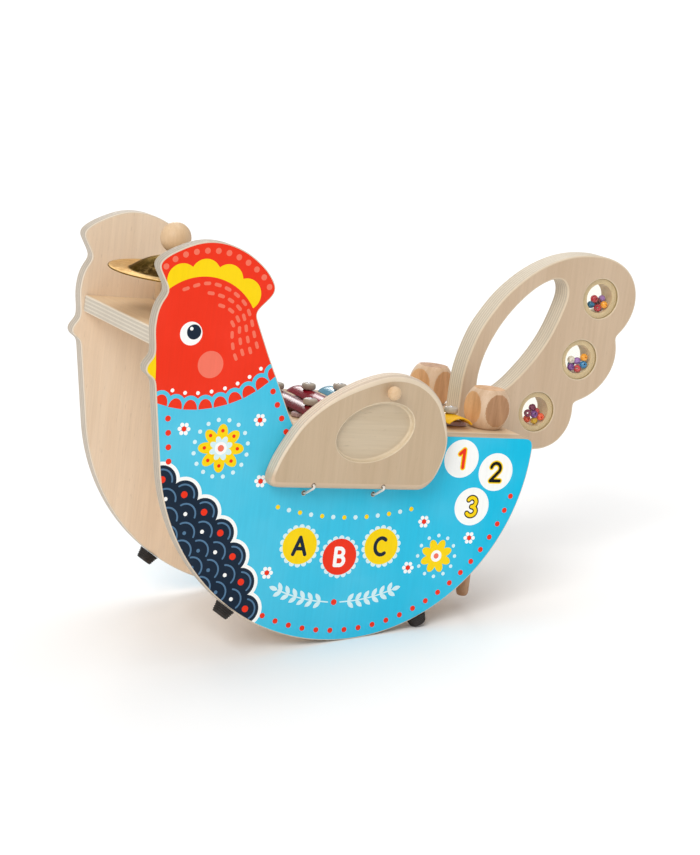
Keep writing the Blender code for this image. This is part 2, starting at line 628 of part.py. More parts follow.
for side, sgn in (("left", -1.0), ("right", 1.0)):
    slope = (BAR_HALF_SPACING[-1] - BAR_HALF_SPACING[0]) / (BAR_XS[-1] - BAR_XS[0])
    ang = atan2(sgn * slope, 1.0)
    half_w = 4.5
    a0 = Vector((BAR_XS[0] - 9.0, sgn * (BAR_HALF_SPACING[0] - 9.0 * slope)))
    a1 = Vector((BAR_XS[-1] + 9.0, sgn * (BAR_HALF_SPACING[-1] + 9.0 * slope)))
    d = Vector((cos(ang), sin(ang)))
    nrm = Vector((-sin(ang), cos(ang)))
    ring = []
    for c, a_from in ((a1, -90.0), (a0, 90.0)):
        for i in range(7):
            t = radians(a_from + 30.0 * i)
            p = c + (d * cos(t) + nrm * sin(t)) * half_w
            ring.append((p.x, p.y))
    holes = [circle(BAR_XS[i], sgn * BAR_HALF_SPACING[i], 1.8, 8) for i in range(5)]
    finish(flat_plate(side + "_felt_strip", ring, holes, DECK_TOP + GAP,
                      DECK_TOP + GAP + FELT_T, upright=False), "felt")

# ------------------------------------------------- stand the toy on the floor
bpy.context.view_layer.update()
dg = bpy.context.evaluated_depsgraph_get()
lo = Vector((1e9, 1e9, 1e9))
hi = -lo
for ob in parts.objects:
    if ob.type == "MESH":
        ev = ob.evaluated_get(dg)
        mw = ev.matrix_world
        me = ev.to_mesh()
        for v in me.vertices:
            w = mw @ v.co
            for i in range(3):
                lo[i] = min(lo[i], w[i])
                hi[i] = max(hi[i], w[i])
        ev.to_mesh_clear()
toy.location = (-(lo.x + hi.x) / 2, -(lo.y + hi.y) / 2, -lo.z)
bpy.context.view_layer.update()
print("belly centre stands at", tuple(round(c * 1000, 3) for c in toy.location))
print("size mm", tuple(round(c * 1000, 1) for c in (hi - lo)))
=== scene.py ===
"""Looks of the wooden musical chicken toy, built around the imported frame.

Every piece is laid out in the toy's own level frame in millimetres, the one
the CAD source uses: x from the beak to the tail, y across, z up, with the
centre of the round belly at the origin.  TOY carries that frame to the world.
"""
import math
from math import atan2, cos, degrees, hypot, pi, radians, sin, sqrt, tan

import bmesh
import bpy
import numpy as np
from mathutils import Matrix, Vector
from mathutils.geometry import delaunay_2d_cdt


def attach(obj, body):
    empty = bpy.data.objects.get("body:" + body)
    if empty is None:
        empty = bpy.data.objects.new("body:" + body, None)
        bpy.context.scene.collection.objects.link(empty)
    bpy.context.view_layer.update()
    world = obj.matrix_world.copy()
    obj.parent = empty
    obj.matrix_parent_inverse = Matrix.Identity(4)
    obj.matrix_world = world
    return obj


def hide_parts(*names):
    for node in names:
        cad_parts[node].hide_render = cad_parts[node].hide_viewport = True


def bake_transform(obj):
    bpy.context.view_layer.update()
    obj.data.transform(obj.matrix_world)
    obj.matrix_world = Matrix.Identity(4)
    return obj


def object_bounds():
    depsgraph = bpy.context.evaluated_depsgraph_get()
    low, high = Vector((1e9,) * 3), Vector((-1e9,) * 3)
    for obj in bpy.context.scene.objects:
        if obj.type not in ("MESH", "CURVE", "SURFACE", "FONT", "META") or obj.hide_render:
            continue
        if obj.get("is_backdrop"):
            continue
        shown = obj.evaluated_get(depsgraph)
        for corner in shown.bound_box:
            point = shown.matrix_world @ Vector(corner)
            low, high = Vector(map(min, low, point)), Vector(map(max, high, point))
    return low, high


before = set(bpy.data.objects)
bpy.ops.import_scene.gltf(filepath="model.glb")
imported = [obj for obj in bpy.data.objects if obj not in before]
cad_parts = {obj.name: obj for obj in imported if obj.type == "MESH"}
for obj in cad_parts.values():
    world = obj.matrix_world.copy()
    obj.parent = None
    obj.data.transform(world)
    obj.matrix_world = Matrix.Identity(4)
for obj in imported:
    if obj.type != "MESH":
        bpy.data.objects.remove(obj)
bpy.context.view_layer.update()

MM = 0.001
ROCK_BACK = 7.85
TOY = (Matrix.Translation((-0.061416, 0.0119, 0.150))
       @ Matrix.Rotation(radians(ROCK_BACK), 4, "Y"))
scene = bpy.context.scene

# ------------------------------------------------------------------- camera
FOCAL_PX, WIDE_PX, HIGH_PX = 2400.0, 700, 855
right = Vector((cos(radians(26.1)), -sin(radians(26.1)), 0.0))
ahead = Vector((sin(radians(26.1)) * cos(radians(13.85)),
                cos(radians(26.1)) * cos(radians(13.85)), -sin(radians(13.85))))
down = ahead.cross(right)
mark = TOY @ Vector((0.0, -0.080, 0.0))            # belly centre, near outer face
depth = 1.72125
place = mark - depth * (ahead + right * ((354.2 - 350.0) / FOCAL_PX)
                        + down * ((439.6 - 427.5) / FOCAL_PX))
cam = bpy.data.objects.new("camera", bpy.data.cameras.new("camera"))
cam.data.sensor_fit = "AUTO"
cam.data.sensor_width = 36.0
cam.data.lens = FOCAL_PX * 36.0 / HIGH_PX
cam.data.clip_start, cam.data.clip_end = 0.05, 100.0
cam.matrix_world = Matrix.Translation(place) @ Matrix((right, -down, -ahead)).transposed().to_4x4()
scene.collection.objects.link(cam)
scene.camera = cam


# ------------------------------------------------------------ flat geometry
def catmull(pts, steps, closed=False):
    out, n = [], len(pts)
    spans = n if closed else n - 1
    for i in range(spans):
        if closed:
            q = [pts[(i + k - 1) % n] for k in range(4)]
        else:
            q = [pts[min(max(i + k - 1, 0), n - 1)] for k in range(4)]
        for k in range(steps):
            t = k / steps
            out.append(tuple(
                0.5 * (2 * q[1][a] + (q[2][a] - q[0][a]) * t
                       + (2 * q[0][a] - 5 * q[1][a] + 4 * q[2][a] - q[3][a]) * t * t
                       + (3 * q[1][a] - q[0][a] - 3 * q[2][a] + q[3][a]) * t ** 3)
                for a in (0, 1)))
    if not closed:
        out.append(tuple(pts[-1]))
    return out


def arc(cx, cz, r, a0, a1, n):
    return [(cx + r * cos(radians(a0 + (a1 - a0) * i / n)),
             cz + r * sin(radians(a0 + (a1 - a0) * i / n))) for i in range(n + 1)]


def circle(cx, cz, r, n, turn=0.0):
    return [(cx + r * cos(2 * pi * i / n + turn), cz + r * sin(2 * pi * i / n + turn))
            for i in range(n)]


def ellipse(cx, cz, a, b, tilt, n):
    c, s = cos(radians(tilt)), sin(radians(tilt))
    out = []
    for i in range(n):
        u, v = a * cos(2 * pi * i / n), b * sin(2 * pi * i / n)
        out.append((cx + u * c - v * s, cz + u * s + v * c))
    return out


def even(pts, step):
    """A closed run of points, spaced evenly along itself."""
    p = np.array(list(pts) + [pts[0]], float)
    keep = np.r_[True, np.hypot(*np.diff(p, axis=0).T) > 1e-6]
    p = p[keep]
    run = np.r_[0.0, np.cumsum(np.hypot(*np.diff(p, axis=0).T))]
    n = max(8, int(round(run[-1] / step)))
    s = np.arange(n) * run[-1] / n
    return np.c_[np.interp(s, run, p[:, 0]), np.interp(s, run, p[:, 1])]


def relax(p, rounds):
    p = np.array(p, float)
    for _ in range(rounds):
        mid = (np.roll(p, 1, 0) + np.roll(p, -1, 0)) / 2
        p = p + 0.5 * (mid - p)
    return p


def area(p):
    x, z = np.array(p, float).T
    return 0.5 * float(np.sum(x * np.roll(z, -1) - np.roll(x, -1) * z))


def turned_to(p, sign):
    p = np.array(p, float)
    return p if area(p) * sign > 0 else p[::-1].copy()


def normals_of(p):
    """Unit normals, to the right of the way the closed run goes."""
    t = np.roll(p, -1, 0) - np.roll(p, 1, 0)
    n = np.c_[t[:, 1], -t[:, 0]]
    return n / np.maximum(np.hypot(*n.T)[:, None], 1e-9)


# ---------------------------------------------------------- making objects
def to_object(name, verts, faces, slots, mats, matrix=TOY, normals=None, smooth=True):
    """Verts in millimetres; normals, if given, are one for each vertex."""
    me = bpy.data.meshes.new(name)
    me.from_pydata([tuple(c * MM for c in v) for v in verts], [], faces)
    for m in mats:
        me.materials.append(m)
    if slots is not None:
        me.polygons.foreach_set("material_index", np.array(slots, np.int32))
    bm = bmesh.new()
    bm.from_mesh(me)
    bmesh.ops.recalc_face_normals(bm, faces=bm.faces)
    bm.to_mesh(me)
    bm.free()
    me.polygons.foreach_set("use_smooth", [smooth] * len(me.polygons))
    me.update()
    if normals is not None:
        me.normals_split_custom_set_from_vertices([tuple(n) for n in normals])
    ob = bpy.data.objects.new(name, me)
    scene.collection.objects.link(ob)
    ob.matrix_world = matrix
    return ob


def keep_as(ob, body, slot, *nodes):
    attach(ob, body)
    if nodes:
        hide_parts(*nodes)
    return ob


def put(axis, u, v, w):
    """A point of a plate's outline (u, v) at height w through its thickness."""
    if axis == "Y":
        return (u, w, v)
    if axis == "Z":
        return (u, v, w)
    return (w, u, v)


def planar_map(loops, art):
    """Triangles inside the first loop and outside the others, cut along every
    patch of art, with the last patch that covers each one."""
    flat, faces = [], []
    for ring in loops:
        ids = list(range(len(flat), len(flat) + len(ring)))
        flat += [Vector((float(a), float(b))) for a, b in ring]
        faces.append(ids if area(ring) > 0 else ids[::-1])
    for _, poly in art:
        ids = list(range(len(flat), len(flat) + len(poly)))
        flat += [Vector((float(a), float(b))) for a, b in poly]
        faces.append(ids if area(poly) > 0 else ids[::-1])
    v, _, f, ov, _, of = delaunay_2d_cdt(flat, [], faces, 0, 1e-5)
    nl = len(loops)
    tris, tints = [], []
    for t, owners in zip(f, of):
        if 0 not in owners or any(0 < k < nl for k in owners):
            continue
        top = max((k for k in owners if k >= nl), default=-1)
        tris.append(list(t))
        tints.append(art[top - nl][0] if top >= 0 else None)
    where = {}
    for i, olds in enumerate(ov):
        for k in olds:
            where[k] = i
    return np.array([tuple(p) for p in v], float), tris, tints, where


def plate(name, outer, holes, lo, hi, mats, r=1.5, hole_r=(), seg=4, axis="Y",
          art=(), art_at="lo", dishes=(), matrix=TOY, tint_slots=None, ledges=None):
    """A flat board with rounded edges.

    mats: face, edge, other face, then any print colours by name in tint_slots.
    r may be a function of the outline's points.  dishes: (ring, profile, mats)
    sunk into the art side, each profile a list of (inward, deep, lean).
    ledges: for the loop at each key, (width, depth, slot of the floor, slot of
    the wall) of a seat cut round that hole on both faces.
    """
    runs = [turned_to(outer, 1)] + [turned_to(h, -1) for h in holes]
    radii = [r] + list(hole_r) + [r] * (len(holes) - len(hole_r))
    base = []
    for p, rad in zip(runs, radii):
        n = normals_of(p)
        rr = np.array([rad(*q) for q in p]) if callable(rad) else np.full(len(p), float(rad))
        base.append([p, n, rr, p - n * rr[:, None]])
    lips = [turned_to(d[0], -1) for d in dishes]
    loops = [b[3] for b in base] + [np.array(d) for d in lips]
    cap, tris, tints, where = planar_map(loops, list(art))
    # points that the art adds on the rim
    used = sorted({i for t in tris for i in t})
    edge_count = {}
    for t in tris:
        for a, b in ((t[0], t[1]), (t[1], t[2]), (t[2], t[0])):
            k = (min(a, b), max(a, b))
            edge_count[k] = edge_count.get(k, 0) + 1
    rim = {i for k, c in edge_count.items() if c == 1 for i in k}
    start, ids = 0, []
    for b in base:
        own = [where[start + k] for k in range(len(b[0]))]
        start += len(b[0])
        ids.append(own)
    lip_ids = []
    for d in lips:
        lip_ids.append([where[start + k] for k in range(len(d))])
        start += len(d)
    taken = {i for own in ids + lip_ids for i in own}
    extra = [i for i in rim if i not in taken]
    grown = []
    for b, own in zip(base, ids):
        p, n, rr, inner = b
        add = {}
        if extra:
            e = cap[extra]
            a0, a1 = inner, np.roll(inner, -1, 0)
            d = a1 - a0
            ln = np.maximum((d ** 2).sum(1), 1e-12)
            for idx, q in zip(extra, e):
                t = ((q - a0) * d).sum(1) / ln
                off = np.hypot(*(a0 + d * t[:, None] - q).T)
                off[(t <= 0) | (t >= 1)] = 1e9
                k = int(np.argmin(off))
                if off[k] < 2e-3:
                    add.setdefault(k, []).append((float(t[k]), idx))
        P, N, R, I, own2 = [], [], [], [], []
        m = len(own)
        for k in range(m):
            P.append(p[k]); N.append(n[k]); R.append(rr[k]); I.append(inner[k]); own2.append(own[k])
            for t, idx in sorted(add.get(k, [])):
                k2 = (k + 1) % m
                nn = n[k] * (1 - t) + n[k2] * t
                P.append(p[k] * (1 - t) + p[k2] * t)
                N.append(nn / max(hypot(*nn), 1e-9))
                R.append(rr[k] * (1 - t) + rr[k2] * t)
                I.append(cap[idx]); own2.append(idx)
        grown.append((np.array(P), np.array(N), np.array(R), np.array(I), own2))
    verts, norms, faces, slots = [], [], [], []
    sgn = -1.0 if art_at == "lo" else 1.0
    w_art, w_back = (lo, hi) if art_at == "lo" else (hi, lo)
    index = {}
    for i in used:
        index[i] = len(verts)
        verts.append(put(axis, cap[i][0], cap[i][1], w_art))
        norms.append(put(axis, 0.0, 0.0, sgn))
    for t, tint in zip(tris, tints):
        faces.append([index[i] for i in t])
        slots.append(0 if tint is None else tint_slots[tint])
    back_loops = []
    for which, (P, N, R, I, own) in enumerate(grown):
        ring = [index[i] for i in own]
        steps = [(k, True) for k in range(1, seg + 1)] + [(k, False) for k in range(seg, -1, -1)]
        m = len(ring)
        flat_edge = float(np.max(R)) < 1e-6
        if flat_edge:
            steps = [(seg, False)]
        seat = []
        if ledges and which in ledges:
            wide, deep, floor_slot, wall_slot = ledges[which]
            near_run = [(0.0, deep - 0.22, 1.0, 0.0, wall_slot),
                        (0.07, deep - 0.07, 0.7, 0.7, wall_slot),
                        (0.22, deep, 0.0, 1.0, wall_slot), (wide - 0.22, deep, 0.0, 1.0, floor_slot),
                        (wide - 0.07, deep + 0.07, 0.7, 0.7, floor_slot),
                        (wide, deep + 0.22, 1.0, 0.0, floor_slot)]
            seat = ([(q, near_at, nn, na, sl, True) for q, near_at, nn, na, sl in near_run]
                    + [(q, far_at, nn, na, sl, False) for (q, far_at, nn, na, _), sl in
                       zip(reversed(near_run), [floor_slot] * 4 + [wall_slot] * 2)])
        for k, near in steps:
            while seat and not near:
                q, at, nn, na, sl, front = seat.pop(0)
                new = []
                way = sgn if front else -sgn
                for j in range(m):
                    u, v = P[j] + N[j] * q
                    w = (w_art - sgn * at) if front else (w_back + sgn * at)
                    new.append(len(verts))
                    verts.append(put(axis, u, v, w))
                    norms.append(put(axis, N[j][0] * nn, N[j][1] * nn, way * na))
                for j in range(m):
                    j2 = (j + 1) % m
                    faces.append([ring[j], ring[j2], new[j2], new[j]])
                    slots.append(sl)
                ring = new
            a = pi / 2 * k / seg
            inset = R * (1 - sin(a))
            dip = R * (1 - cos(a))
            new = []
            for j in range(m):
                u, v = P[j] - N[j] * inset[j]
                w = (w_art - sgn * dip[j]) if near else (w_back + sgn * dip[j])
                new.append(len(verts))
                verts.append(put(axis, u, v, w))
                side = 1.0 if near else -1.0
                norms.append(put(axis, N[j][0] * sin(a), N[j][1] * sin(a), sgn * side * cos(a)))
            for j in range(m):
                j2 = (j + 1) % m
                faces.append([ring[j], ring[j2], new[j2], new[j]])
                slots.append(1)
            ring = new
        back_loops.append((I, ring))
    bv, bt, _, bw = planar_map([i for i, _ in back_loops], [])
    back_index, start = {}, 0
    for i, ring in back_loops:
        for k in range(len(ring)):
            back_index[bw[start + k]] = ring[k]
        start += len(ring)
    for t in bt:
        if all(i in back_index for i in t):
            faces.append([back_index[i] for i in t])
            slots.append(2)
    for (lip, profile, dish_slots), lip_ring, own in zip(dishes, lips, lip_ids):
        n = normals_of(lip_ring)                     # points into the dish
        ring = [index[i] for i in own]
        m = len(ring)
        for inward, deep, lean in profile:
            new = []
            for j in range(m):
                u, v = lip_ring[j] + n[j] * inward
                new.append(len(verts))
                verts.append(put(axis, u, v, w_art - sgn * deep))
                a = radians(lean)
                norms.append(put(axis, n[j][0] * sin(a), n[j][1] * sin(a), sgn * cos(a)))
            for j in range(m):
                j2 = (j + 1) % m
                faces.append([ring[j], ring[j2], new[j2], new[j]])
                slots.append(dish_slots[0])
            ring = new
        faces.append(list(ring))
        slots.append(dish_slots[1])
    return to_object(name, verts, faces, slots, mats, matrix, norms)


def lathe(name, profile, turns, mats, matrix, slots=None, wobble=None, sharp=38.0):
    """A turned piece about its own z; profile is (radius, height), top first."""
    verts, faces, face_slots, rings = [], [], [], []
    for r, z in profile:
        if r < 1e-6:
            rings.append([len(verts)])
            verts.append((0.0, 0.0, z))
        else:
            rings.append(list(range(len(verts), len(verts) + turns)))
            for k in range(turns):
                a = 2 * pi * k / turns
                q = r if wobble is None else r * wobble(a, z)
                verts.append((q * cos(a), q * sin(a), z))
    closed = profile[0][0] > 1e-6
    pairs = list(zip(rings, rings[1:])) + ([(rings[-1], rings[0])] if closed else [])
    for k, (a, b) in enumerate(pairs):
        for j in range(turns):
            j2 = (j + 1) % turns
            if len(a) == 1:
                faces.append([a[0], b[j], b[j2]])
            elif len(b) == 1:
                faces.append([a[j2], a[j], b[0]])
            else:
                faces.append([a[j2], a[j], b[j], b[j2]])
            face_slots.append(slots[k] if slots else 0)
    ob = to_object(name, verts, faces, face_slots, mats, matrix)
    ob.data.set_sharp_from_angle(angle=radians(sharp))
    return ob


def tube(points, radius, sides, cap=True):
    """Verts and faces of a tube along 3-D points; radius may be a list."""
    p = [Vector(q) for q in points]
    rad = radius if hasattr(radius, "__len__") else [radius] * len(p)
    verts, faces = [], []
    t = (p[1] - p[0]).normalized()
    side = t.orthogonal().normalized()
    for i, q in enumerate(p):
        if i == 0:
            d = p[1] - p[0]
        elif i == len(p) - 1:
            d = p[-1] - p[-2]
        else:
            d = (p[i + 1] - p[i]).normalized() + (p[i] - p[i - 1]).normalized()
        d.normalize()
        side = (side - d * side.dot(d)).normalized()
        up = d.cross(side)
        for k in range(sides):
            a = 2 * pi * k / sides
            verts.append(tuple(q + (side * cos(a) + up * sin(a)) * rad[i]))
    for i in range(len(p) - 1):
        for k in range(sides):
            k2 = (k + 1) % sides
            faces.append([i * sides + k, i * sides + k2, (i + 1) * sides + k2, (i + 1) * sides + k])
    if cap:
        faces.append(list(range(sides))[::-1])
        faces.append(list(range((len(p) - 1) * sides, len(p) * sides)))
    return verts, faces


def merge(parts):
    """Joins (verts, faces, slot) lists into one."""
    verts, faces, slots = [], [], []
    for v, f, s in parts:
        n = len(verts)
        verts += v
        faces += [[i + n for i in q] for q in f]
        slots += [s] * len(f)
    return verts, faces, slots


# ---------------------------------------------------------------- materials
def lin(r, g, b):
    def one(c):
        c /= 255.0
        return c / 12.92 if c <= 0.04045 else ((c + 0.055) / 1.055) ** 2.4
    return (one(r), one(g), one(b), 1.0)


class Look:
    """A Principled material and a few short ways to wire nodes into it."""

    def __init__(self, name, rough=0.5, metal=0.0, specular=0.5):
        self.m = bpy.data.materials.new(name)
        self.m.use_nodes = True
        self.t = self.m.node_tree
        self.b = self.t.nodes["Principled BSDF"]
        self.set("Roughness", rough)
        self.set("Metallic", metal)
        self.set("Specular IOR Level", specular)
        self.coord = self.t.nodes.new("ShaderNodeTexCoord")

    def set(self, name, value):
        self.b.inputs[name].default_value = value

    def link(self, a, b):
        self.t.links.new(a, b)

    def coords(self, scale=(1, 1, 1), turn=(0, 0, 0), shift=(0, 0, 0)):
        n = self.t.nodes.new("ShaderNodeMapping")
        n.inputs["Scale"].default_value = scale
        n.inputs["Rotation"].default_value = turn
        n.inputs["Location"].default_value = shift
        self.link(self.coord.outputs["Object"], n.inputs["Vector"])
        return n.outputs[0]

    def noise(self, vec, scale, detail=3.0, rough=0.55, distortion=0.0):
        n = self.t.nodes.new("ShaderNodeTexNoise")
        n.inputs["Scale"].default_value = scale
        n.inputs["Detail"].default_value = detail
        n.inputs["Roughness"].default_value = rough
        n.inputs["Distortion"].default_value = distortion
        self.link(vec, n.inputs["Vector"])
        return n.outputs["Fac"]

    def voronoi(self, vec, scale, feature="F1"):
        n = self.t.nodes.new("ShaderNodeTexVoronoi")
        n.feature = feature
        n.inputs["Scale"].default_value = scale
        self.link(vec, n.inputs["Vector"])
        return n.outputs["Distance"]

    def ramp(self, fac, stops, ease="LINEAR"):
        n = self.t.nodes.new("ShaderNodeValToRGB")
        n.color_ramp.interpolation = ease
        e = n.color_ramp.elements
        while len(e) < len(stops):
            e.new(0.5)
        for el, (at, col) in zip(e, sorted(stops, key=lambda s: s[0])):
            el.position = at
            el.color = col if hasattr(col, "__len__") else (col, col, col, 1.0)
        self.link(fac, n.inputs["Fac"])
        return n.outputs["Color"]

    def mix(self, fac, a, b, kind="MIX"):
        n = self.t.nodes.new("ShaderNodeMix")
        n.data_type = "RGBA"
        n.blend_type = kind
        for value, at in ((fac, 0), (a, 6), (b, 7)):
            s = n.inputs[at]
            if hasattr(value, "links"):
                self.link(value, s)
            elif at == 0:
                s.default_value = value
            else:
                s.default_value = value if hasattr(value, "__len__") else (value,) * 3 + (1.0,)
        return n.outputs[2]

    def math(self, kind, a, b=None, c=None):
        n = self.t.nodes.new("ShaderNodeMath")
        n.operation = kind
        for i, value in enumerate((a, b, c)):
            if value is None:
                continue
            if hasattr(value, "links"):
                self.link(value, n.inputs[i])
            else:
                n.inputs[i].default_value = value
        return n.outputs[0]

    def xyz(self, vec=None):
        n = self.t.nodes.new("ShaderNodeSeparateXYZ")
        self.link(vec if vec is not None else self.coord.outputs["Object"], n.inputs[0])
        return n.outputs

    def bump(self, height, strength=0.4, distance=0.0002, under=None):
        n = self.t.nodes.new("ShaderNodeBump")
        n.inputs["Strength"].default_value = strength
        n.inputs["Distance"].default_value = distance
        self.link(height, n.inputs["Height"])
        if under is not None:
            self.link(under, n.inputs["Normal"])
        self.link(n.outputs[0], self.b.inputs["Normal"])
        return n.outputs[0]

    def color(self, socket):
        self.link(socket, self.b.inputs["Base Color"])

    def spread(self, fac, lo, hi, name="Roughness"):
        n = self.t.nodes.new("ShaderNodeMapRange")
        n.inputs["To Min"].default_value = lo
        n.inputs["To Max"].default_value = hi
        self.link(fac, n.inputs["Value"])
        self.link(n.outputs[0], self.b.inputs[name])


def along(axis, across, long):
    """Mapping scales that stretch a pattern along one axis."""
    s = [across, across, across]
    s["XYZ".index(axis)] = long
    return tuple(s)


def wood_face(name, grain="Z", pale=(231, 207, 174), mid=(222, 195, 160), dark=(208, 178, 141),
              shift=(0.0, 0.0, 0.0), tilt=0.0, rough=(0.46, 0.62)):
    """A birch veneer: soft bands, fine streaks and short dark flecks."""
    k = Look(name)
    turn = (0.0, tilt, 0.0)
    bands = k.noise(k.coords(along(grain, 1.0, 0.10), turn, shift), 46.0, 4.0, 0.55, 0.9)
    fine = k.noise(k.coords(along(grain, 1.0, 0.035), turn, shift), 620.0, 4.0, 0.62)
    streak = k.noise(k.coords(along(grain, 1.0, 0.02), turn, shift), 190.0, 3.0, 0.5, 0.3)
    flecks = k.noise(k.coords(along(grain, 1.0, 0.16), turn, (0.31, 0.17, 0.05)), 900.0, 1.0, 0.5)
    low = [m + (d - m) * 0.55 for m, d in zip(mid, dark)]
    high = [m + (p - m) * 0.55 for m, p in zip(mid, pale)]
    base = k.ramp(bands, [(0.26, lin(*low)), (0.50, lin(*mid)), (0.74, lin(*high))])
    base = k.mix(k.ramp(streak, [(0.35, 0.0), (0.70, 0.24)]), base, lin(*dark))
    base = k.mix(k.ramp(fine, [(0.38, 0.0), (0.72, 0.20)]), base,
                 lin(*[int(c * 0.88) for c in dark]))
    base = k.mix(k.ramp(flecks, [(0.68, 0.0), (0.80, 0.34)]), base,
                 lin(*[int(c * 0.82) for c in dark]))
    k.color(base)
    k.spread(fine, rough[1], rough[0])
    k.bump(fine, 0.22, 0.00025)
    return k.m


def ply_edge(name, axis="Y", lo=-80.0, hi=-68.0, plies=7, long="X", warm=0.0, tint=(1, 1, 1),
             veneer=(228, 213, 190), below=None, seams=0.45, dark_deck_band=None):
    """The cut edge of plywood: pale face veneers, darker cross plies between."""
    k = Look(name)
    at = k.xyz()["XYZ".index(axis)]
    wave = k.noise(k.coords((1, 1, 1)), 22.0, 2.0)
    drift = k.math("MULTIPLY", k.math("SUBTRACT", wave, 0.5), 0.00035)
    t = k.math("ADD", at, drift)
    t = k.math("SUBTRACT", t, lo * MM)
    t = k.math("DIVIDE", t, (hi - lo) * MM)
    u = k.math("MULTIPLY", t, float(plies))
    part = k.math("FRACT", u)
    layer = k.math("GREATER_THAN", k.math("FRACT", k.math("MULTIPLY", k.math("FLOOR", u), 0.5)),
                   0.25)
    pale = lin(*[min(255, int(c * w)) for c, w in zip((216 + warm, 206 + warm * .6, 189), tint)])
    dim = lin(*[min(255, int(c * w)) for c, w in zip((196 + warm, 185 + warm * .6, 168), tint)])
    glue = lin(*[int(c * w) for c, w in zip((164, 151, 132), tint)])
    base = k.mix(layer, pale, dim)
    pores = k.noise(k.coords(along(axis, 1.0, 1.4)), 1500.0, 3.0, 0.6)
    run = k.noise(k.coords(along(axis, 0.12, 1.0)), 1300.0, 3.0, 0.6)
    base = k.mix(k.ramp(pores, [(0.45, 0.0), (0.75, 0.30)]), base, glue)
    base = k.mix(k.ramp(run, [(0.40, 0.0), (0.75, 0.22)]), base, lin(228, 217, 198))
    line = k.math("LESS_THAN", k.math("PINGPONG", part, 0.5), 0.055)
    base = k.mix(k.math("MULTIPLY", line, seams), base, glue)
    # the two face veneers stay pale and clean
    near = k.math("MULTIPLY", k.math("PINGPONG", t, 0.5), (hi - lo) * 1.0)
    skin = k.ramp(near, [(0.70, 1.0), (1.15, 0.0)])
    base = k.mix(k.math("MULTIPLY", skin, 0.8), base, lin(*veneer))
    if below is not None:
        # low down, where it is sanded round, only the long grain of one ply shows
        low = k.math("MULTIPLY", k.xyz()[2], 1000.0)
        low = k.ramp(k.math("MULTIPLY_ADD", low, -0.1, -2.0), [(0.0, 0.0), (0.5, 0.9)])
        base = k.mix(low, base, lin(*below))
    if dark_deck_band is not None:
        # in a band level with the deck top, behind x = -85 mm, the edge is darkened
        off = k.math("MULTIPLY_ADD", k.xyz()[2], 1000.0, -dark_deck_band[0])
        off = k.math("MULTIPLY", k.math("ABSOLUTE", off), 0.1)
        at_deck = k.ramp(off, [(0.30, 0.85), (0.60, 0.0)])
        behind = k.math("GREATER_THAN", k.xyz()[0], -0.085)
        base = k.mix(k.math("MULTIPLY", at_deck, behind), base, lin(*dark_deck_band[1]))
    # handling has greyed the edge a little in broad patches
    soil = k.noise(k.coords((1, 1, 1), (0, 0, 0), (2.0, 1.0, 3.0)), 30.0, 3.0)
    base = k.mix(k.ramp(soil, [(0.45, 0.0), (0.80, 0.22)]), base, lin(176, 160, 142))
    k.color(base)
    k.spread(pores, 0.72, 0.50)
    k.bump(k.math("ADD", pores, k.math("MULTIPLY", line, -0.6)), 0.30, 0.00025)
    return k.m


def paint(name, rgb, other=None, rough=(0.36, 0.48), span=None, specular=0.14):
    """Print on lacquered veneer: the grain shows through a little."""
    k = Look(name, specular=specular)
    fine = k.noise(k.coords(along("Z", 1.0, 0.04)), 560.0, 4.0, 0.6)
    cloud = k.noise(k.coords((1, 1, 1), (0, 0, 0), (0.7, 0.2, 0.9)), 26.0, 3.0)
    base = lin(*rgb)
    if other is not None:
        n = k.t.nodes.new("ShaderNodeMapRange")
        n.inputs["From Min"].default_value = span[0] * MM
        n.inputs["From Max"].default_value = span[1] * MM
        k.link(k.xyz()[0], n.inputs["Value"])
        base = k.mix(n.outputs[0], base, lin(*other))
    deep = tuple(c * 0.86 for c in lin(*rgb)[:3]) + (1.0,)
    light = tuple(min(1.0, c * 1.05 + 0.012) for c in lin(*rgb)[:3]) + (1.0,)
    if other is None:
        tone = k.mix(k.ramp(fine, [(0.35, 0.0), (0.75, 0.35)]), base, deep)
        tone = k.mix(k.ramp(cloud, [(0.40, 0.0), (0.75, 0.45)]), tone, light)
    else:
        tone = k.mix(k.ramp(fine, [(0.35, 0.0), (0.75, 0.10)]), base, lin(20, 120, 170))
        tone = k.mix(k.ramp(cloud, [(0.40, 0.0), (0.75, 0.10)]), tone, lin(150, 225, 245))
    k.color(tone)
    k.spread(fine, rough[1], rough[0])
    k.bump(fine, 0.10, 0.00015)
    return k.m


def beech(name, grain="Z", pale=(214, 168, 128), mid=(197, 145, 103), dark=(172, 117, 77),
          ray=(142, 92, 58)):
    """Beech: tan brown with short ray flecks."""
    k = Look(name)
    bands = k.noise(k.coords(along(grain, 1.0, 0.14)), 120.0, 4.0, 0.55, 0.6)
    fine = k.noise(k.coords(along(grain, 1.0, 0.05)), 900.0, 4.0, 0.6)
    rays = k.noise(k.coords(along(grain, 1.0, 0.20), (0, 0, 0), (0.4, 0.1, 0.2)), 1500.0, 1.0)
    base = k.ramp(bands, [(0.32, lin(*dark)), (0.50, lin(*mid)), (0.68, lin(*pale))])
    base = k.mix(k.ramp(fine, [(0.38, 0.0), (0.72, 0.26)]), base, lin(*dark))
    base = k.mix(k.ramp(rays, [(0.66, 0.0), (0.76, 0.45)]), base, lin(*ray))
    k.color(base)
    k.spread(fine, 0.55, 0.40)
    k.bump(fine, 0.18, 0.0002)
    return k.m


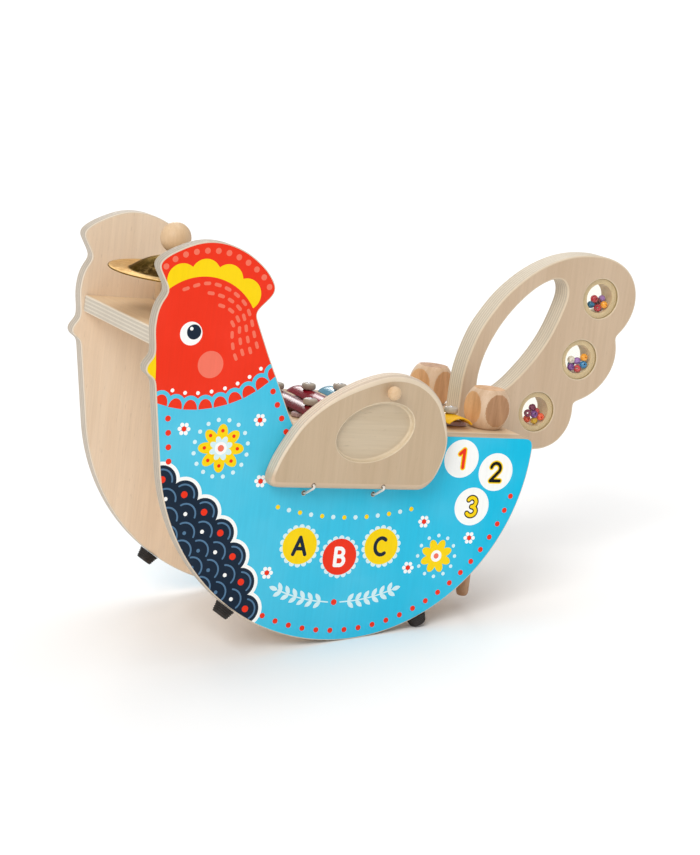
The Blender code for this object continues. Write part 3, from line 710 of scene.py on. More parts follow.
def enamel(name, rgb, worn):
    """Gloss paint on pressed metal, with faint orange peel and a few rubs."""
    k = Look(name, rough=0.24, specular=0.12)
    peel = k.noise(k.coords(), 620.0, 2.0)
    patch = k.noise(k.coords((1, 1, 1), (0, 0, 0), (0.2, 0.8, 0.1)), 85.0, 4.0, 0.65)
    fine = k.noise(k.coords(along("Y", 1.0, 0.2)), 1600.0, 2.0)
    base = k.mix(k.ramp(patch, [(0.46, 0.0), (0.80, 0.22)]), lin(*rgb), lin(*worn))
    base = k.mix(k.ramp(fine, [(0.66, 0.0), (0.78, 0.14)]), base, lin(*worn))
    k.color(base)
    k.set("Coat Weight", 0.07)
    k.set("Coat Roughness", 0.16)
    k.spread(patch, 0.22, 0.32)
    k.bump(peel, 0.06, 0.0002)
    return k.m


def rubber(name, rgb, lighter, scale=900.0, rough=(0.58, 0.80), depth_of=0.35):
    k = Look(name, specular=0.4)
    grit = k.noise(k.coords(), scale, 3.0, 0.6)
    patch = k.noise(k.coords((1, 1, 1), (0, 0, 0), (0.1, 0.3, 0.6)), scale / 9.0, 3.0)
    k.color(k.mix(k.ramp(patch, [(0.40, 0.0), (0.72, 1.0)]), lin(*rgb), lin(*lighter)))
    k.spread(grit, rough[0], rough[1])
    k.bump(grit, depth_of, 0.0002)
    return k.m


def brass():
    """Spun brass: fine rings and uneven tarnish in mottled patches; the dome's dark colour is partly
    tarnish and partly painted dark reflection, and a dark line round the rim is painted reflection.
    """
    k = Look("cymbal_brass_finish", metal=1.0)
    k.set("Specular Tint", (0.70, 0.60, 0.44, 1.0))
    x, y, _ = k.xyz()
    dist = k.math("SQRT", k.math("ADD", k.math("MULTIPLY", x, x), k.math("MULTIPLY", y, y)))
    rings = k.math("SINE", k.math("MULTIPLY", dist, 2 * pi / 0.0011))
    fine = k.math("SINE", k.math("MULTIPLY", dist, 2 * pi / 0.00043))
    mottled = k.noise(k.coords(), 210.0, 5.0, 0.68, 0.6)
    cloud = k.noise(k.coords((1, 1, 1), (0, 0, 0), (0.3, 0.3, 0.1)), 44.0, 3.0, 0.6)
    # the dome: dark brown with mottled tarnish, darkened further as painted dark reflection
    dome = k.ramp(mottled, [(0.36, lin(38, 27, 13)), (0.52, lin(76, 57, 30)),
                            (0.66, lin(142, 115, 72))])
    dome = k.mix(k.ramp(cloud, [(0.44, 0.0), (0.66, 0.6)]), dome, lin(38, 28, 15))
    ring = k.ramp(mottled, [(0.34, lin(226, 188, 132)), (0.52, lin(246, 212, 158)),
                            (0.68, lin(255, 230, 184))])
    out = k.math("DIVIDE", dist, 0.046)
    base = k.mix(k.ramp(out, [(0.665, 0.0), (0.70, 1.0)]), dome, ring)
    # painted reflection: a thin dark line round the very rim stands for the dark edge it reflects
    base = k.mix(k.ramp(out, [(0.984, 0.0), (0.992, 1.0)]), base, lin(120, 90, 40))
    k.color(base)
    k.spread(mottled, 0.32, 0.46)
    h = k.math("ADD", k.math("MULTIPLY", rings, 0.6), k.math("MULTIPLY", fine, 0.4))
    h = k.math("ADD", h, k.math("MULTIPLY", mottled, 1.6))
    k.bump(h, 0.30, 0.00012)
    return k.m


def felt_look(name, rgb, light):
    k = Look(name, rough=0.95, specular=0.2)
    fuzz = k.noise(k.coords(), 1400.0, 4.0, 0.7)
    tuft = k.noise(k.coords((1, 1, 1), (0, 0, 0), (0.4, 0.6, 0.2)), 380.0, 3.0, 0.6)
    k.color(k.mix(k.ramp(fuzz, [(0.35, 0.0), (0.72, 1.0)]), lin(*rgb), lin(*light)))
    k.set("Sheen Weight", 0.35)
    k.bump(k.math("ADD", fuzz, tuft), 0.9, 0.0005)
    return k.m


def bead_look(name, rgb):
    k = Look(name, rough=0.16, specular=0.4)
    swirl = k.noise(k.coords(), 260.0, 3.0, 0.6, 1.2)
    r, g, b, _ = lin(*rgb)
    k.color(k.mix(k.ramp(swirl, [(0.35, 0.0), (0.70, 0.55)]), lin(*rgb),
                  (min(1, r * 1.2 + .012), min(1, g * 1.2 + .012), min(1, b * 1.2 + .012), 1.0)))
    k.set("Coat Weight", 0.25)
    k.set("Coat Roughness", 0.06)
    k.spread(swirl, 0.12, 0.24)
    return k.m


def clear_look():
    """Clear window plastic: mostly see-through, with a faint gloss and scuffs."""
    m = bpy.data.materials.new("clear_window_finish")
    m.use_nodes = True
    t = m.node_tree
    t.nodes.clear()
    out = t.nodes.new("ShaderNodeOutputMaterial")
    mixer = t.nodes.new("ShaderNodeMixShader")
    see = t.nodes.new("ShaderNodeBsdfTransparent")
    see.inputs["Color"].default_value = (0.995, 0.99, 0.965, 1.0)
    gloss = t.nodes.new("ShaderNodeBsdfPrincipled")
    gloss.inputs["Base Color"].default_value = (0.92, 0.93, 0.90, 1.0)
    coord = t.nodes.new("ShaderNodeTexCoord")
    scuff = t.nodes.new("ShaderNodeTexNoise")
    scuff.inputs["Scale"].default_value = 420.0
    scuff.inputs["Detail"].default_value = 3.0
    t.links.new(coord.outputs["Object"], scuff.inputs["Vector"])
    rough = t.nodes.new("ShaderNodeMapRange")
    rough.inputs["To Min"].default_value = 0.03
    rough.inputs["To Max"].default_value = 0.16
    t.links.new(scuff.outputs["Fac"], rough.inputs["Value"])
    t.links.new(rough.outputs[0], gloss.inputs["Roughness"])
    share = t.nodes.new("ShaderNodeMapRange")
    share.inputs["To Min"].default_value = 0.01
    share.inputs["To Max"].default_value = 0.03
    t.links.new(scuff.outputs["Fac"], share.inputs["Value"])
    t.links.new(share.outputs[0], mixer.inputs[0])
    t.links.new(see.outputs[0], mixer.inputs[1])
    t.links.new(gloss.outputs[0], mixer.inputs[2])
    t.links.new(mixer.outputs[0], out.inputs["Surface"])
    return m


# --------------------------------------------------------------- side panels
BELLY_R, HALF, INNER = 150.0, 80.0, 68.0
CORD_X, CORD_HOLE_Z, CORD_WING_Z = (-34.9, 21.0), -40.0, -30.9


def panel_outline():
    lean = 9.6
    a_end = -(180.0 - lean)
    pts = arc(BELLY_R - 5.1, 0.0, 5.1, 90.0, 0.0, 10)
    pts += arc(0.0, 0.0, BELLY_R, 0.0, a_end, 170)[1:]
    x0, z0 = pts[-1]
    zb = 37.0
    pts.append((x0 - (zb - z0) * tan(radians(lean)), zb))
    head = [(-159.5, 38.6), (-164.2, 41.0), (-166.4, 44.8), (-164.8, 49.0), (-161.0, 54.0),
            (-161.0, 60.0), (-162.0, 66.5), (-162.8, 73.0), (-162.6, 80.0), (-161.7, 86.0),
            (-159.8, 91.5), (-156.8, 96.5), (-155.6, 100.0), (-157.4, 104.0), (-161.2, 110.5),
            (-164.0, 115.5), (-163.2, 119.3), (-157.7, 124.1), (-150.8, 128.0), (-143.8, 131.2),
            (-136.5, 133.8), (-128.7, 135.2), (-121.0, 135.2), (-113.5, 134.1), (-106.0, 131.8),
            (-98.3, 128.4), (-90.5, 123.4), (-83.6, 117.7), (-78.4, 111.3), (-75.8, 106.3),
            (-76.2, 102.2), (-79.3, 97.8), (-83.0, 94.0), (-86.4, 90.2), (-88.2, 86.8),
            (-86.6, 82.6), (-82.4, 73.7)]
    pts += catmull(head, 8)
    pts += catmull([(-82.4, 73.7), (-73.9, 56.0), (-63.6, 36.0), (-53.4, 15.9),
                    (-49.2, 8.7), (-45.2, 5.9), (-40.5, 5.1)], 8)[1:]
    p = even(pts, 1.3)
    soft = relax(p, 6)
    arc_part = (np.hypot(p[:, 0], p[:, 1]) > BELLY_R - 0.4) & (p[:, 1] < 0)
    soft[arc_part] = p[arc_part]
    return soft


# ---- the print: simple blocks of colour and plain folk ornaments
def stroke(path, w, caps=6):
    """A band of width w along an open path, with round ends."""
    p = np.array(path, float)
    t = np.diff(p, axis=0)
    t /= np.maximum(np.hypot(*t.T)[:, None], 1e-9)
    left, righ = [], []
    for i in range(len(p)):
        if i == 0:
            d = t[0]
        elif i == len(p) - 1:
            d = t[-1]
        else:
            d = t[i - 1] + t[i]
            d = d / max(hypot(*d), 1e-9)
            d = d / max(0.55, float(d @ t[i]))
        n = np.array((-d[1], d[0])) * w / 2
        left.append(tuple(p[i] + n))
        righ.append(tuple(p[i] - n))
    a = degrees(atan2(t[-1][1], t[-1][0]))
    b = degrees(atan2(t[0][1], t[0][0]))
    end = arc(p[-1][0], p[-1][1], w / 2, a + 90, a - 90, caps)[1:-1]
    begin = arc(p[0][0], p[0][1], w / 2, b - 90, b - 270, caps)[1:-1]
    return left + end + righ[::-1] + begin


def leaf(x, z, length, width, angle, n=9):
    """A pointed leaf that starts at (x, z)."""
    c, s = cos(radians(angle)), sin(radians(angle))
    pts = []
    for i in range(n):
        t = i / (n - 1)
        pts.append((t * length, width / 2 * sin(pi * t) ** 0.75))
    for i in range(n - 2, 0, -1):
        t = i / (n - 1)
        pts.append((t * length, -width / 2 * sin(pi * t) ** 0.75))
    return [(x + u * c - v * s, z + u * s + v * c) for u, v in pts]


def glyph(mark_name, cx, cz, size, w, face):
    """Plain rounded strokes for one letter or digit, size high, centred."""
    def turn_arc(x, z, rx, rz, a0, a1, n=12):
        return [(x + rx * cos(radians(a0 + (a1 - a0) * i / n)),
                 z + rz * sin(radians(a0 + (a1 - a0) * i / n))) for i in range(n + 1)]
    forms = {
        "A": [[(0.0, 0.0), (0.38, 1.0)], [(0.38, 1.0), (0.76, 0.0)], [(0.15, 0.34), (0.61, 0.34)]],
        "B": [[(0.05, 0.0), (0.05, 1.0)],
              [(0.05, 1.0), (0.26, 1.0)] + turn_arc(0.30, 0.765, 0.235, 0.235, 80, -80)
              + [(0.26, 0.53), (0.05, 0.53)],
              [(0.05, 0.53), (0.30, 0.53)] + turn_arc(0.34, 0.265, 0.265, 0.265, 80, -80)
              + [(0.30, 0.0), (0.05, 0.0)]],
        "C": [turn_arc(0.44, 0.5, 0.40, 0.5, 52, 308, 18)],
        "1": [[(0.06, 0.76), (0.32, 1.0)], [(0.32, 1.0), (0.32, 0.0)]],
        "2": [turn_arc(0.31, 0.71, 0.29, 0.29, 170, -38, 14) + [(0.06, 0.02)],
              [(0.04, 0.0), (0.64, 0.0)]],
        "3": [turn_arc(0.29, 0.745, 0.255, 0.255, 150, -90, 14),
              turn_arc(0.29, 0.235, 0.285, 0.255, 90, -150, 14)],
    }[mark_name]
    wide = {"A": 0.76, "B": 0.62, "C": 0.86, "1": 0.36, "2": 0.64, "3": 0.60}[mark_name]
    out = []
    for f in forms:
        path = [(cx + face * (u - wide / 2) * size, cz + (v - 0.5) * size) for u, v in f]
        out.append(stroke(path, w))
    return out


def panel_art(face, has_wing):
    """The patches of print on one outer face; face is +1 where a viewer of
    that face has the tail on the right."""
    art = []

    def add(tint, *polys):
        for q in polys:
            art.append((tint, q))

    def daisy(fx, fz, s, petal="yellow", heart="coral"):
        for k in range(8):
            a = 22.5 + 45.0 * k
            add(petal, ellipse(fx + 7.6 * s * cos(radians(a)), fz + 7.6 * s * sin(radians(a)),
                               4.9 * s, 3.0 * s, a, 22))
        add("white", circle(fx, fz, 4.2 * s, 26))
        add(heart, circle(fx, fz, 2.0 * s, 18))

    # collar line, from the breast to the neck, and the red head above it
    collar = catmull([(-170.0, 23.8), (-160.0, 22.6), (-152.0, 20.6), (-142.1, 18.5),
                      (-130.8, 17.7), (-118.9, 18.7), (-108.0, 20.9), (-97.8, 24.2),
                      (-88.0, 28.8), (-79.5, 34.2), (-72.0, 40.2), (-62.0, 49.8),
                      (-52.0, 61.0)], 6)
    add("red", collar + [(-52.0, 150.0), (-180.0, 150.0), (-180.0, 23.8)])
    # comb: an arc of plain yellow lobes, coral dots along its rim
    cx, cz, rr = -127.8, 68.0, 43.0
    for a in (115.0, 92.3, 69.7, 47.0):
        k = radians(a)
        add("yellow", circle(cx + (rr + 1.0) * cos(k), cz + (rr + 1.0) * sin(k), 11.3, 44))
    add("red", circle(cx, cz, rr, 90))
    rim = catmull([(-159.4, 116.2), (-153.0, 121.8), (-144.9, 125.6), (-136.3, 127.9),
                   (-127.5, 129.0), (-117.8, 128.9), (-109.3, 126.8), (-100.9, 123.4),
                   (-93.6, 119.2), (-86.5, 113.8), (-80.8, 106.4)], 6)
    far = [0.0]
    for a, b in zip(rim, rim[1:]):
        far.append(far[-1] + hypot(b[0] - a[0], b[1] - a[1]))
    for i in range(12):
        m = far[-1] * i / 11
        add("coral", circle(float(np.interp(m, far, [q[0] for q in rim])),
                            float(np.interp(m, far, [q[1] for q in rim])), 2.15, 18))
    run = [0.0]
    for a, b in zip(collar, collar[1:]):
        run.append(run[-1] + hypot(b[0] - a[0], b[1] - a[1]))

    def on_collar(s):
        x = float(np.interp(s, run, [q[0] for q in collar]))
        z = float(np.interp(s, run, [q[1] for q in collar]))
        x2 = float(np.interp(s + 0.5, run, [q[0] for q in collar]))
        z2 = float(np.interp(s + 0.5, run, [q[1] for q in collar]))
        return x, z, degrees(atan2(z2 - z, x2 - x))

    def arch(x, z, half, high, a, n=18):
        c, s = cos(radians(a)), sin(radians(a))
        flat = [(half * cos(pi * i / n), high * sin(pi * i / n)) for i in range(n + 1)]
        return [(x + u * c - v * s, z + u * s + v * c) for u, v in flat]

    first, pitch = 5.9, 11.5
    for i in range(11):
        x, z, a = on_collar(first + pitch * i)
        add("blue", ellipse(x, z, 8.3, 10.0, a, 40))
    for i in range(11):
        x, z, a = on_collar(first + pitch * i)
        add("red", arch(x, z, 5.2, 7.0, a))
    for i in range(2, 10):
        x, z, a = on_collar(first + pitch * (i - 0.5))
        k = radians(a + 90)
        add("white", circle(x + 11.6 * cos(k), z + 11.6 * sin(k), 1.4, 18))
    # beak
    add("yellow", [(-190.0, 30.0), (-158.0, 30.0), (-158.3, 38.0), (-158.8, 46.0),
                   (-160.2, 57.5), (-190.0, 58.5)])
    # short strokes on the back of the head
    for row, (ox, t0) in enumerate([(0.0, 0.02), (6.6, 0.14), (13.2, 0.28), (19.8, 0.42)]):
        spine = catmull([(-145.0 + ox * 0.9, 101.0 - ox * 0.9), (-128.0, 106.4 - ox),
                         (-112.0, 103.4 - ox * 0.98),
                         (-99.0 - ox * 0.35, 95.0 - ox * 0.75), (-92.2 - ox * 0.62, 84.0 - ox * 0.35),
                         (-88.0 - ox * 0.86, 72.0), (-83.0 - ox * 0.98, 60.0),
                         (-77.6 - ox, 50.5)], 6)
        s = [0.0]
        for a, b in zip(spine, spine[1:]):
            s.append(s[-1] + hypot(b[0] - a[0], b[1] - a[1]))
        n = int((0.97 - t0) * s[-1] / 8.1)
        for i in range(n):
            m = t0 * s[-1] + 8.1 * (i + (0.5 if row % 2 else 0.0))
            ends = []
            for d in (-1.5, 1.5):
                ends.append((float(np.interp(m + d, s, [q[0] for q in spine])),
                             float(np.interp(m + d, s, [q[1] for q in spine]))))
            add("coral", stroke(ends, 2.5, 6))
    # eye and cheek
    add("white", circle(-135.6, 71.0, 8.3, 44))
    add("navy", circle(-133.6, 72.2, 5.3, 36))
    add("white", circle(-135.6, 74.4, 1.3, 14))
    add("coral_cheek", circle(-118.6, 50.0, 9.6, 44))
    # breast: scalloped edge and rows of plain fish scales
    line = catmull([(-151.0, -30.0), (-132.0, -40.5), (-113.0, -54.0), (-96.5, -71.0),
                    (-83.5, -91.0), (-74.0, -113.0), (-70.0, -131.0), (-69.0, -146.0)], 6)
    s = [0.0]
    for a, b in zip(line, line[1:]):
        s.append(s[-1] + hypot(b[0] - a[0], b[1] - a[1]))

    def on_line(m, off=0.0):
        x = float(np.interp(m, s, [q[0] for q in line]))
        z = float(np.interp(m, s, [q[1] for q in line]))
        x2 = float(np.interp(m + 0.5, s, [q[0] for q in line]))
        z2 = float(np.interp(m + 0.5, s, [q[1] for q in line]))
        a = atan2(z2 - z, x2 - x)
        return x + off * sin(a), z - off * cos(a), degrees(a)

    steps = [6.5 + 20.6 * i for i in range(7)]
    for m in steps:
        x, z, _ = on_line(m)
        add("white", circle(x, z, 13.6, 44))
    add("navy", line + [(-69.0, -200.0), (-220.0, -200.0), (-220.0, -30.0)])
    for m in steps:
        x, z, _ = on_line(m)
        add("navy", circle(x, z, 11.0, 40))
    for row, (off, tint) in enumerate([(-0.5, "slate"), (9.5, "slate"), (19.5, "slate"),
                                       (29.5, "slate")]):
        for i in range(-1, 8):
            m = 6.5 + 20.6 * i + (10.3 if row % 2 else 0.0)
            if m < -12 or m > s[-1] + 8:
                continue
            x, z, a = on_line(min(max(m, 0.0), s[-1]), off)
            if m < 0:
                x += m * cos(radians(a)); z += m * sin(radians(a))
            if m > s[-1]:
                x += (m - s[-1]) * cos(radians(a)); z += (m - s[-1]) * sin(radians(a))
            for rad in (7.6,):
                bow = [(x + rad * cos(radians(a + 20 + 140 * k / 14)),
                        z + rad * sin(radians(a + 20 + 140 * k / 14))) for k in range(15)]
                art.append((tint, stroke(bow, 1.25, 5)))
            if row == 0:
                add("red", circle(x, z + 0.3, 2.5, 18))
            elif row == 1:
                add("white", circle(x, z + 0.2, 1.5, 14))
            else:
                add("slate", circle(x, z, 1.4, 12))
    # dotted border
    for i in range(4):
        t = i / 3.0
        add("red", circle(-145.8 + 4.0 * t, 11.0 - 30.4 * t, 2.15, 20))
    for x, z in ((-68.6, 32.8), (-64.0, 23.3), (-59.4, 13.7), (-54.7, 4.2), (-47.6, -2.6)):
        add("red", circle(x, z, 2.15, 20))
    i = 0
    while True:
        a = -113.2 + 4.62 * i
        if a > -15.0:
            break
        add("red", circle(142.3 * cos(radians(a)), 142.3 * sin(radians(a)), 2.05, 20))
        i += 1
    # a round rosette under the neck
    fx, fz = -103.5, -9.0
    for k in range(16):
        a = 2 * pi * (k + 0.5) / 16
        add("pale", circle(fx + 20.6 * cos(a), fz + 20.6 * sin(a), 1.55, 14))
    for k in range(8):
        a = 45.0 * k
        c0, s0 = cos(radians(a)), sin(radians(a))
        add("yellow", ellipse(fx + 10.9 * c0, fz + 10.9 * s0, 6.6, 4.1, a, 26))
        add("red", circle(fx + 12.6 * c0, fz + 12.6 * s0, 1.35, 12))
    for k in range(8):
        a = 22.5 + 45.0 * k
        add("pale", ellipse(fx + 5.6 * cos(radians(a)), fz + 5.6 * sin(radians(a)), 3.4, 2.2, a, 18))
    add("white", circle(fx, fz, 4.6, 28))
    add("coral", circle(fx, fz, 2.4, 20))
    # three lettered discs on the belly
    spots = [(-33.0, -79.0), (0.0, -87.0), (33.0, -79.0)]
    names = "ABC" if face > 0 else "CBA"
    looks = [("yellow", "navy"), ("red", "white"), ("yellow", "navy")]
    for (x, z), ch, (disc, ink) in zip(spots, names, looks):
        for k in range(18):
            a = 2 * pi * (k + 0.5) / 18
            add("pale", circle(x + 13.9 * cos(a), z + 13.9 * sin(a), 2.2, 14))
        add(disc, circle(x, z, 13.6, 52))
        for q in glyph(ch, x, z, 12.6, 2.8, face):
            add(ink, q)
    # sprigs of plain paired leaves
    def sprig(path, pairs, ln, wd, first_t=0.10, last_t=0.93):
        c = catmull(path, 8)
        d = [0.0]
        for a, b in zip(c, c[1:]):
            d.append(d[-1] + hypot(b[0] - a[0], b[1] - a[1]))
        add("pale", stroke(c[::2] + [c[-1]], 1.0, 4))
        for k in range(pairs):
            m = (first_t + (last_t - first_t) * k / (pairs - 1)) * d[-1]
            x = float(np.interp(m, d, [q[0] for q in c]))
            z = float(np.interp(m, d, [q[1] for q in c]))
            x2 = float(np.interp(m + 1, d, [q[0] for q in c]))
            z2 = float(np.interp(m + 1, d, [q[1] for q in c]))
            a = degrees(atan2(z2 - z, x2 - x))
            for side in (-1, 1):
                add("pale", leaf(x, z, ln, wd, a + side * 48.0, 7))
        add("pale", leaf(c[-1][0], c[-1][1], ln, wd, degrees(
            atan2(c[-1][1] - c[-3][1], c[-1][0] - c[-3][0])), 7))

    # a garland under the letters, in two halves
    for way in (-1.0, 1.0):
        bow = [(way * 121.0 * sin(radians(t)), -121.0 * cos(radians(t)))
               for t in (2.4, 9.0, 16.0, 22.5)]
        sprig(bow, 6, 7.4, 3.4, 0.14, 0.92)
    add("red", circle(0.0, -121.0, 2.3, 20))
    # a swag of small dots over the letters
    for k in range(13):
        x = -54.0 + 9.0 * k
        add("pale" if k % 2 else "yellow", circle(x, -57.6 + 7.0 * (x / 54.0) ** 2, 1.7, 14))
    # a second rosette, low at the back
    for k in range(12):
        a = 2 * pi * k / 12
        add("pale", circle(80.0 + 15.6 * cos(a), -86.0 + 15.6 * sin(a), 1.4, 14))
    daisy(80.0, -86.0, 1.05)
    if not has_wing:
        # nothing covers this face's upper middle, so an ornament fills it
        daisy(0.0, -15.0, 1.15)
        for way in (-1.0, 1.0):
            sprig([(way * 15.0, -15.0), (way * 30.0, -23.0), (way * 47.0, -20.0),
                   (way * 60.0, -10.0)], 7, 7.2, 3.3)
            add("red", circle(way * 32.0, -7.5, 2.15, 20))
            add("white", circle(way * 44.0, -6.0, 2.15, 20))
    for x, z in ((-56.5, -99.0), (57.5, -95.0), (66.0, -60.0), (106.0, -72.0), (-133.0, 4.0),
                 (-76.0, 12.0), (-70.0, -32.0)):
        for k in range(6):
            a = 2 * pi * k / 6
            add("white", circle(x + 3.3 * cos(a), z + 3.3 * sin(a), 1.55, 12))
        add("red", circle(x, z, 1.9, 16))
    # numbered discs near the tail
    first, second = ((90.5, -12.0), (121.0, -21.5))[::1 if face > 0 else -1]
    for ch, (x, z), ink, halo in (("1", first, "red", "yellow"),
                                  ("2", second, "black", "yellow"),
                                  ("3", (104.5, -48.0), "yellow", "black")):
        add("white", circle(x, z, 14.4, 56))
        for q in glyph(ch, x, z, 13.4, 4.4, face):
            add(halo, q)
        for q in glyph(ch, x, z, 13.4, 2.5, face):
            add(ink, q)
    return art


PRINT = {
    "blue": paint("print_blue", (82, 198, 228), (0, 188, 226), span=(-150.0, 150.0)),
    "red": paint("print_red", (238, 50, 20)),
    "coral": paint("print_coral", (242, 116, 92)),
    "coral_cheek": paint("print_coral_cheek", (243, 118, 96)),
    "yellow": paint("print_yellow", (250, 212, 0)),
    "white": paint("print_white", (250, 250, 247)),
    "pale": paint("print_pale", (212, 239, 243)),
    "navy": paint("print_navy", (22, 38, 56), specular=0.10),
    "slate": paint("print_slate", (84, 120, 152), specular=0.12),
    "black": paint("print_black", (16, 15, 18), specular=0.10),
}
TINTS = list(PRINT)
PANEL = panel_outline()
for side, sgn in (("left", -1.0), ("right", 1.0)):
    lo, hi = sorted((sgn * INNER, sgn * HALF))
    # the left side's edge is tinted darker and a little browner than the right one's
    cut = dict(tint=(0.94, 0.935, 0.94), veneer=(234, 218, 196)) if sgn > 0 else dict(
        tint=(0.875, 0.865, 0.86), veneer=(220, 203, 180))
    mats = [PRINT["blue"], ply_edge(side + "_panel_edge_finish", "Y", lo, hi, 7,
                                    dark_deck_band=(5.0, (188, 160, 128)), **cut),
            wood_face(side + "_panel_inner_finish", "Z", shift=(0.4 * sgn, 0.0, 0.2),
                      pale=(250, 231, 208), mid=(243, 220, 193), dark=(228, 202, 173))]
    slots = {}
    for t in TINTS:
        slots[t] = 0 if t == "blue" else len(mats)
        if t != "blue":
            mats.append(PRINT[t])
    holes = [circle(x, CORD_HOLE_Z, 1.6, 20) for x in CORD_X] if side == "left" else []
    ob = plate(side + "_side_panel_printed", PANEL, holes, lo, hi, mats, r=0.8,
               hole_r=(0.35,) * len(holes), seg=4, art=panel_art(-sgn, side == "left"),
               art_at="lo" if sgn < 0 else "hi", tint_slots=slots)
    keep_as(ob, "frame", "panel_wood", side + "_side_panel")

# ---------------------------------------------------- boards between the sides
GAP = 0.3
B = INNER - GAP


def board_run(x0, x1, y0, y1, corner=0.6):
    c = corner
    pts = []
    for cx, cy, a in ((x1 - c, y1 - c, 0), (x0 + c, y1 - c, 90), (x0 + c, y0 + c, 180),
                      (x1 - c, y0 + c, 270)):
        pts += arc(cx, cy, c, a, a + 90, 4)
    return pts


shelf = plate("head_shelf_board", even(board_run(-159.5, -105.3, -B, B), 2.0),
              [circle(-121.0, 0.0, 4.3, 40)], 59.5, 71.8,
              [wood_face("shelf_top_finish", "Y", shift=(1.2, 0.4, 0.0), pale=(240, 214, 178),
                         mid=(232, 203, 165), dark=(216, 184, 144)),
               ply_edge("shelf_edge_finish", "Z", 59.5, 71.8, 9),
               wood_face("shelf_under_finish", "Y", shift=(2.2, 0.1, 0.0))],
              r=1.2, hole_r=(0.4,), seg=3, axis="Z", art_at="hi")
keep_as(shelf, "frame", "board_wood", "head_shelf")

neck = plate("neck_board_panel", even([(-B, 59.5), (B, 59.5), (B, 96.0), (-B, 96.0)], 2.0), [],
             -105.0, -93.0,
             [wood_face("neck_board_front_finish", "Y", shift=(0.1, 1.4, 0.0)),
              ply_edge("neck_board_edge_finish", "X", -105.0, -93.0, 9),
              wood_face("neck_board_back_finish", "Y", shift=(0.6, 2.4, 0.0))],
             r=0.9, seg=3, axis="X", art_at="lo")
keep_as(neck, "frame", "board_wood", "neck_board")

BAR_X0, BAR_PITCH = -13.3, 28.0
BAR_XS = [BAR_X0 + BAR_PITCH * i for i in range(5)]
SPACING = [29.5, 32.4, 35.3, 38.2, 41.1]
notch = 10.0 + GAP
deck_line = ([(-62.0, -B), (145.0, -B), (145.0, -notch), (122.0, -notch), (122.0, notch),
              (145.0, notch), (145.0, B), (-62.0, B)])
deck_pts = []
for a, b in zip(deck_line, deck_line[1:] + deck_line[:1]):
    n = max(2, int(hypot(b[0] - a[0], b[1] - a[1]) / 3.0))
    deck_pts += [(a[0] + (b[0] - a[0]) * k / n, a[1] + (b[1] - a[1]) * k / n) for k in range(n)]
deck = plate("rear_deck_board", deck_pts,
             [circle(127.0, s * 45.0, 5.65, 32) for s in (-1, 1)]
             + [circle(BAR_XS[i], s * SPACING[i], 1.7, 14) for i in range(5) for s in (-1, 1)],
             -7.0, 5.0,
             [wood_face("deck_top_finish", "X", shift=(0.0, 3.1, 0.0), pale=(226, 199, 163),
                        mid=(216, 186, 149)),
              ply_edge("deck_edge_finish", "Z", -7.0, 5.0, 7),
              wood_face("deck_under_finish", "X", shift=(0.0, 4.1, 0.0))],
             r=0.8, hole_r=(0.5, 0.5) + (0.2,) * 10, seg=3, axis="Z", art_at="hi")
keep_as(deck, "frame", "board_wood", "rear_deck")

tie = plate("rear_tie_board", even([(-B, -42.0), (B, -42.0), (B, -20.8), (-B, -20.8)], 2.0), [],
            135.5, 145.5,
            [wood_face("rear_tie_front_finish", "Y", shift=(0.9, 1.9, 0.0)),
             ply_edge("rear_tie_edge_finish", "X", 135.5, 145.5, 7),
             wood_face("rear_tie_back_finish", "Y", shift=(0.3, 2.9, 0.0))],
            r=0.9, seg=3, axis="X", art_at="lo")
keep_as(tie, "frame", "board_wood", "rear_tie")

rail_wood = wood_face("rail_finish", "Z", shift=(0.8, 0.3, 0.0))
for name, x, z in (("front_belly_rail", -58.0, -104.0), ("rear_belly_rail", 58.0, -104.0)):
    ob = lathe(name + "_dowel",
               [(0.0, B), (7.3, B), (8.0, B - 0.7), (8.0, 0.0), (8.0, -B + 0.7), (7.3, -B), (0.0, -B)],
               48, [rail_wood],
               TOY @ Matrix.Translation(Vector((x, 0.0, z)) * MM) @ Matrix.Rotation(pi / 2, 4, "X"))
    keep_as(ob, "frame", "board_wood", name)

# ------------------------------------------------------------------- cymbal
CYMBAL_X, CYMBAL_R, RIM_Z = -121.0, 46.0, 101.9
CYMBAL_PIVOT, CYMBAL_TILT = 112.8, 2.5
knob_finish = wood_face("turned_knob_finish", "Z", pale=(232, 203, 165), mid=(222, 190, 151),
                        dark=(200, 162, 120), rough=(0.38, 0.52))
at_cymbal = TOY @ Matrix.Translation(Vector((CYMBAL_X, 0.0, 0.0)) * MM)
post = lathe("cymbal_post_turned",
             [(0.0, 121.0), (2.5, 121.0), (3.2, 120.7), (3.4, 120.2), (3.4, 107.0), (3.8, 106.8),
              (6.4, 106.8), (6.85, 106.6), (7.0, 106.2), (7.0, 73.4), (7.4, 72.6), (7.4, 72.1),
              (4.0, 72.1), (4.0, 60.5), (0.0, 60.5)], 56, [knob_finish], at_cymbal)
keep_as(post, "frame", "knob_wood", "cymbal_post")
washer = lathe("cymbal_felt_washer",
               [(4.4, 110.6), (7.4, 110.7), (8.3, 110.3), (8.8, 109.5), (8.7, 108.6), (8.1, 107.8),
                (4.4, 107.7)], 48, [felt_look("washer_felt_finish", (196, 186, 170), (226, 218, 204))],
               at_cymbal)
keep_as(washer, "cymbal_seat", "felt", "cymbal_felt")


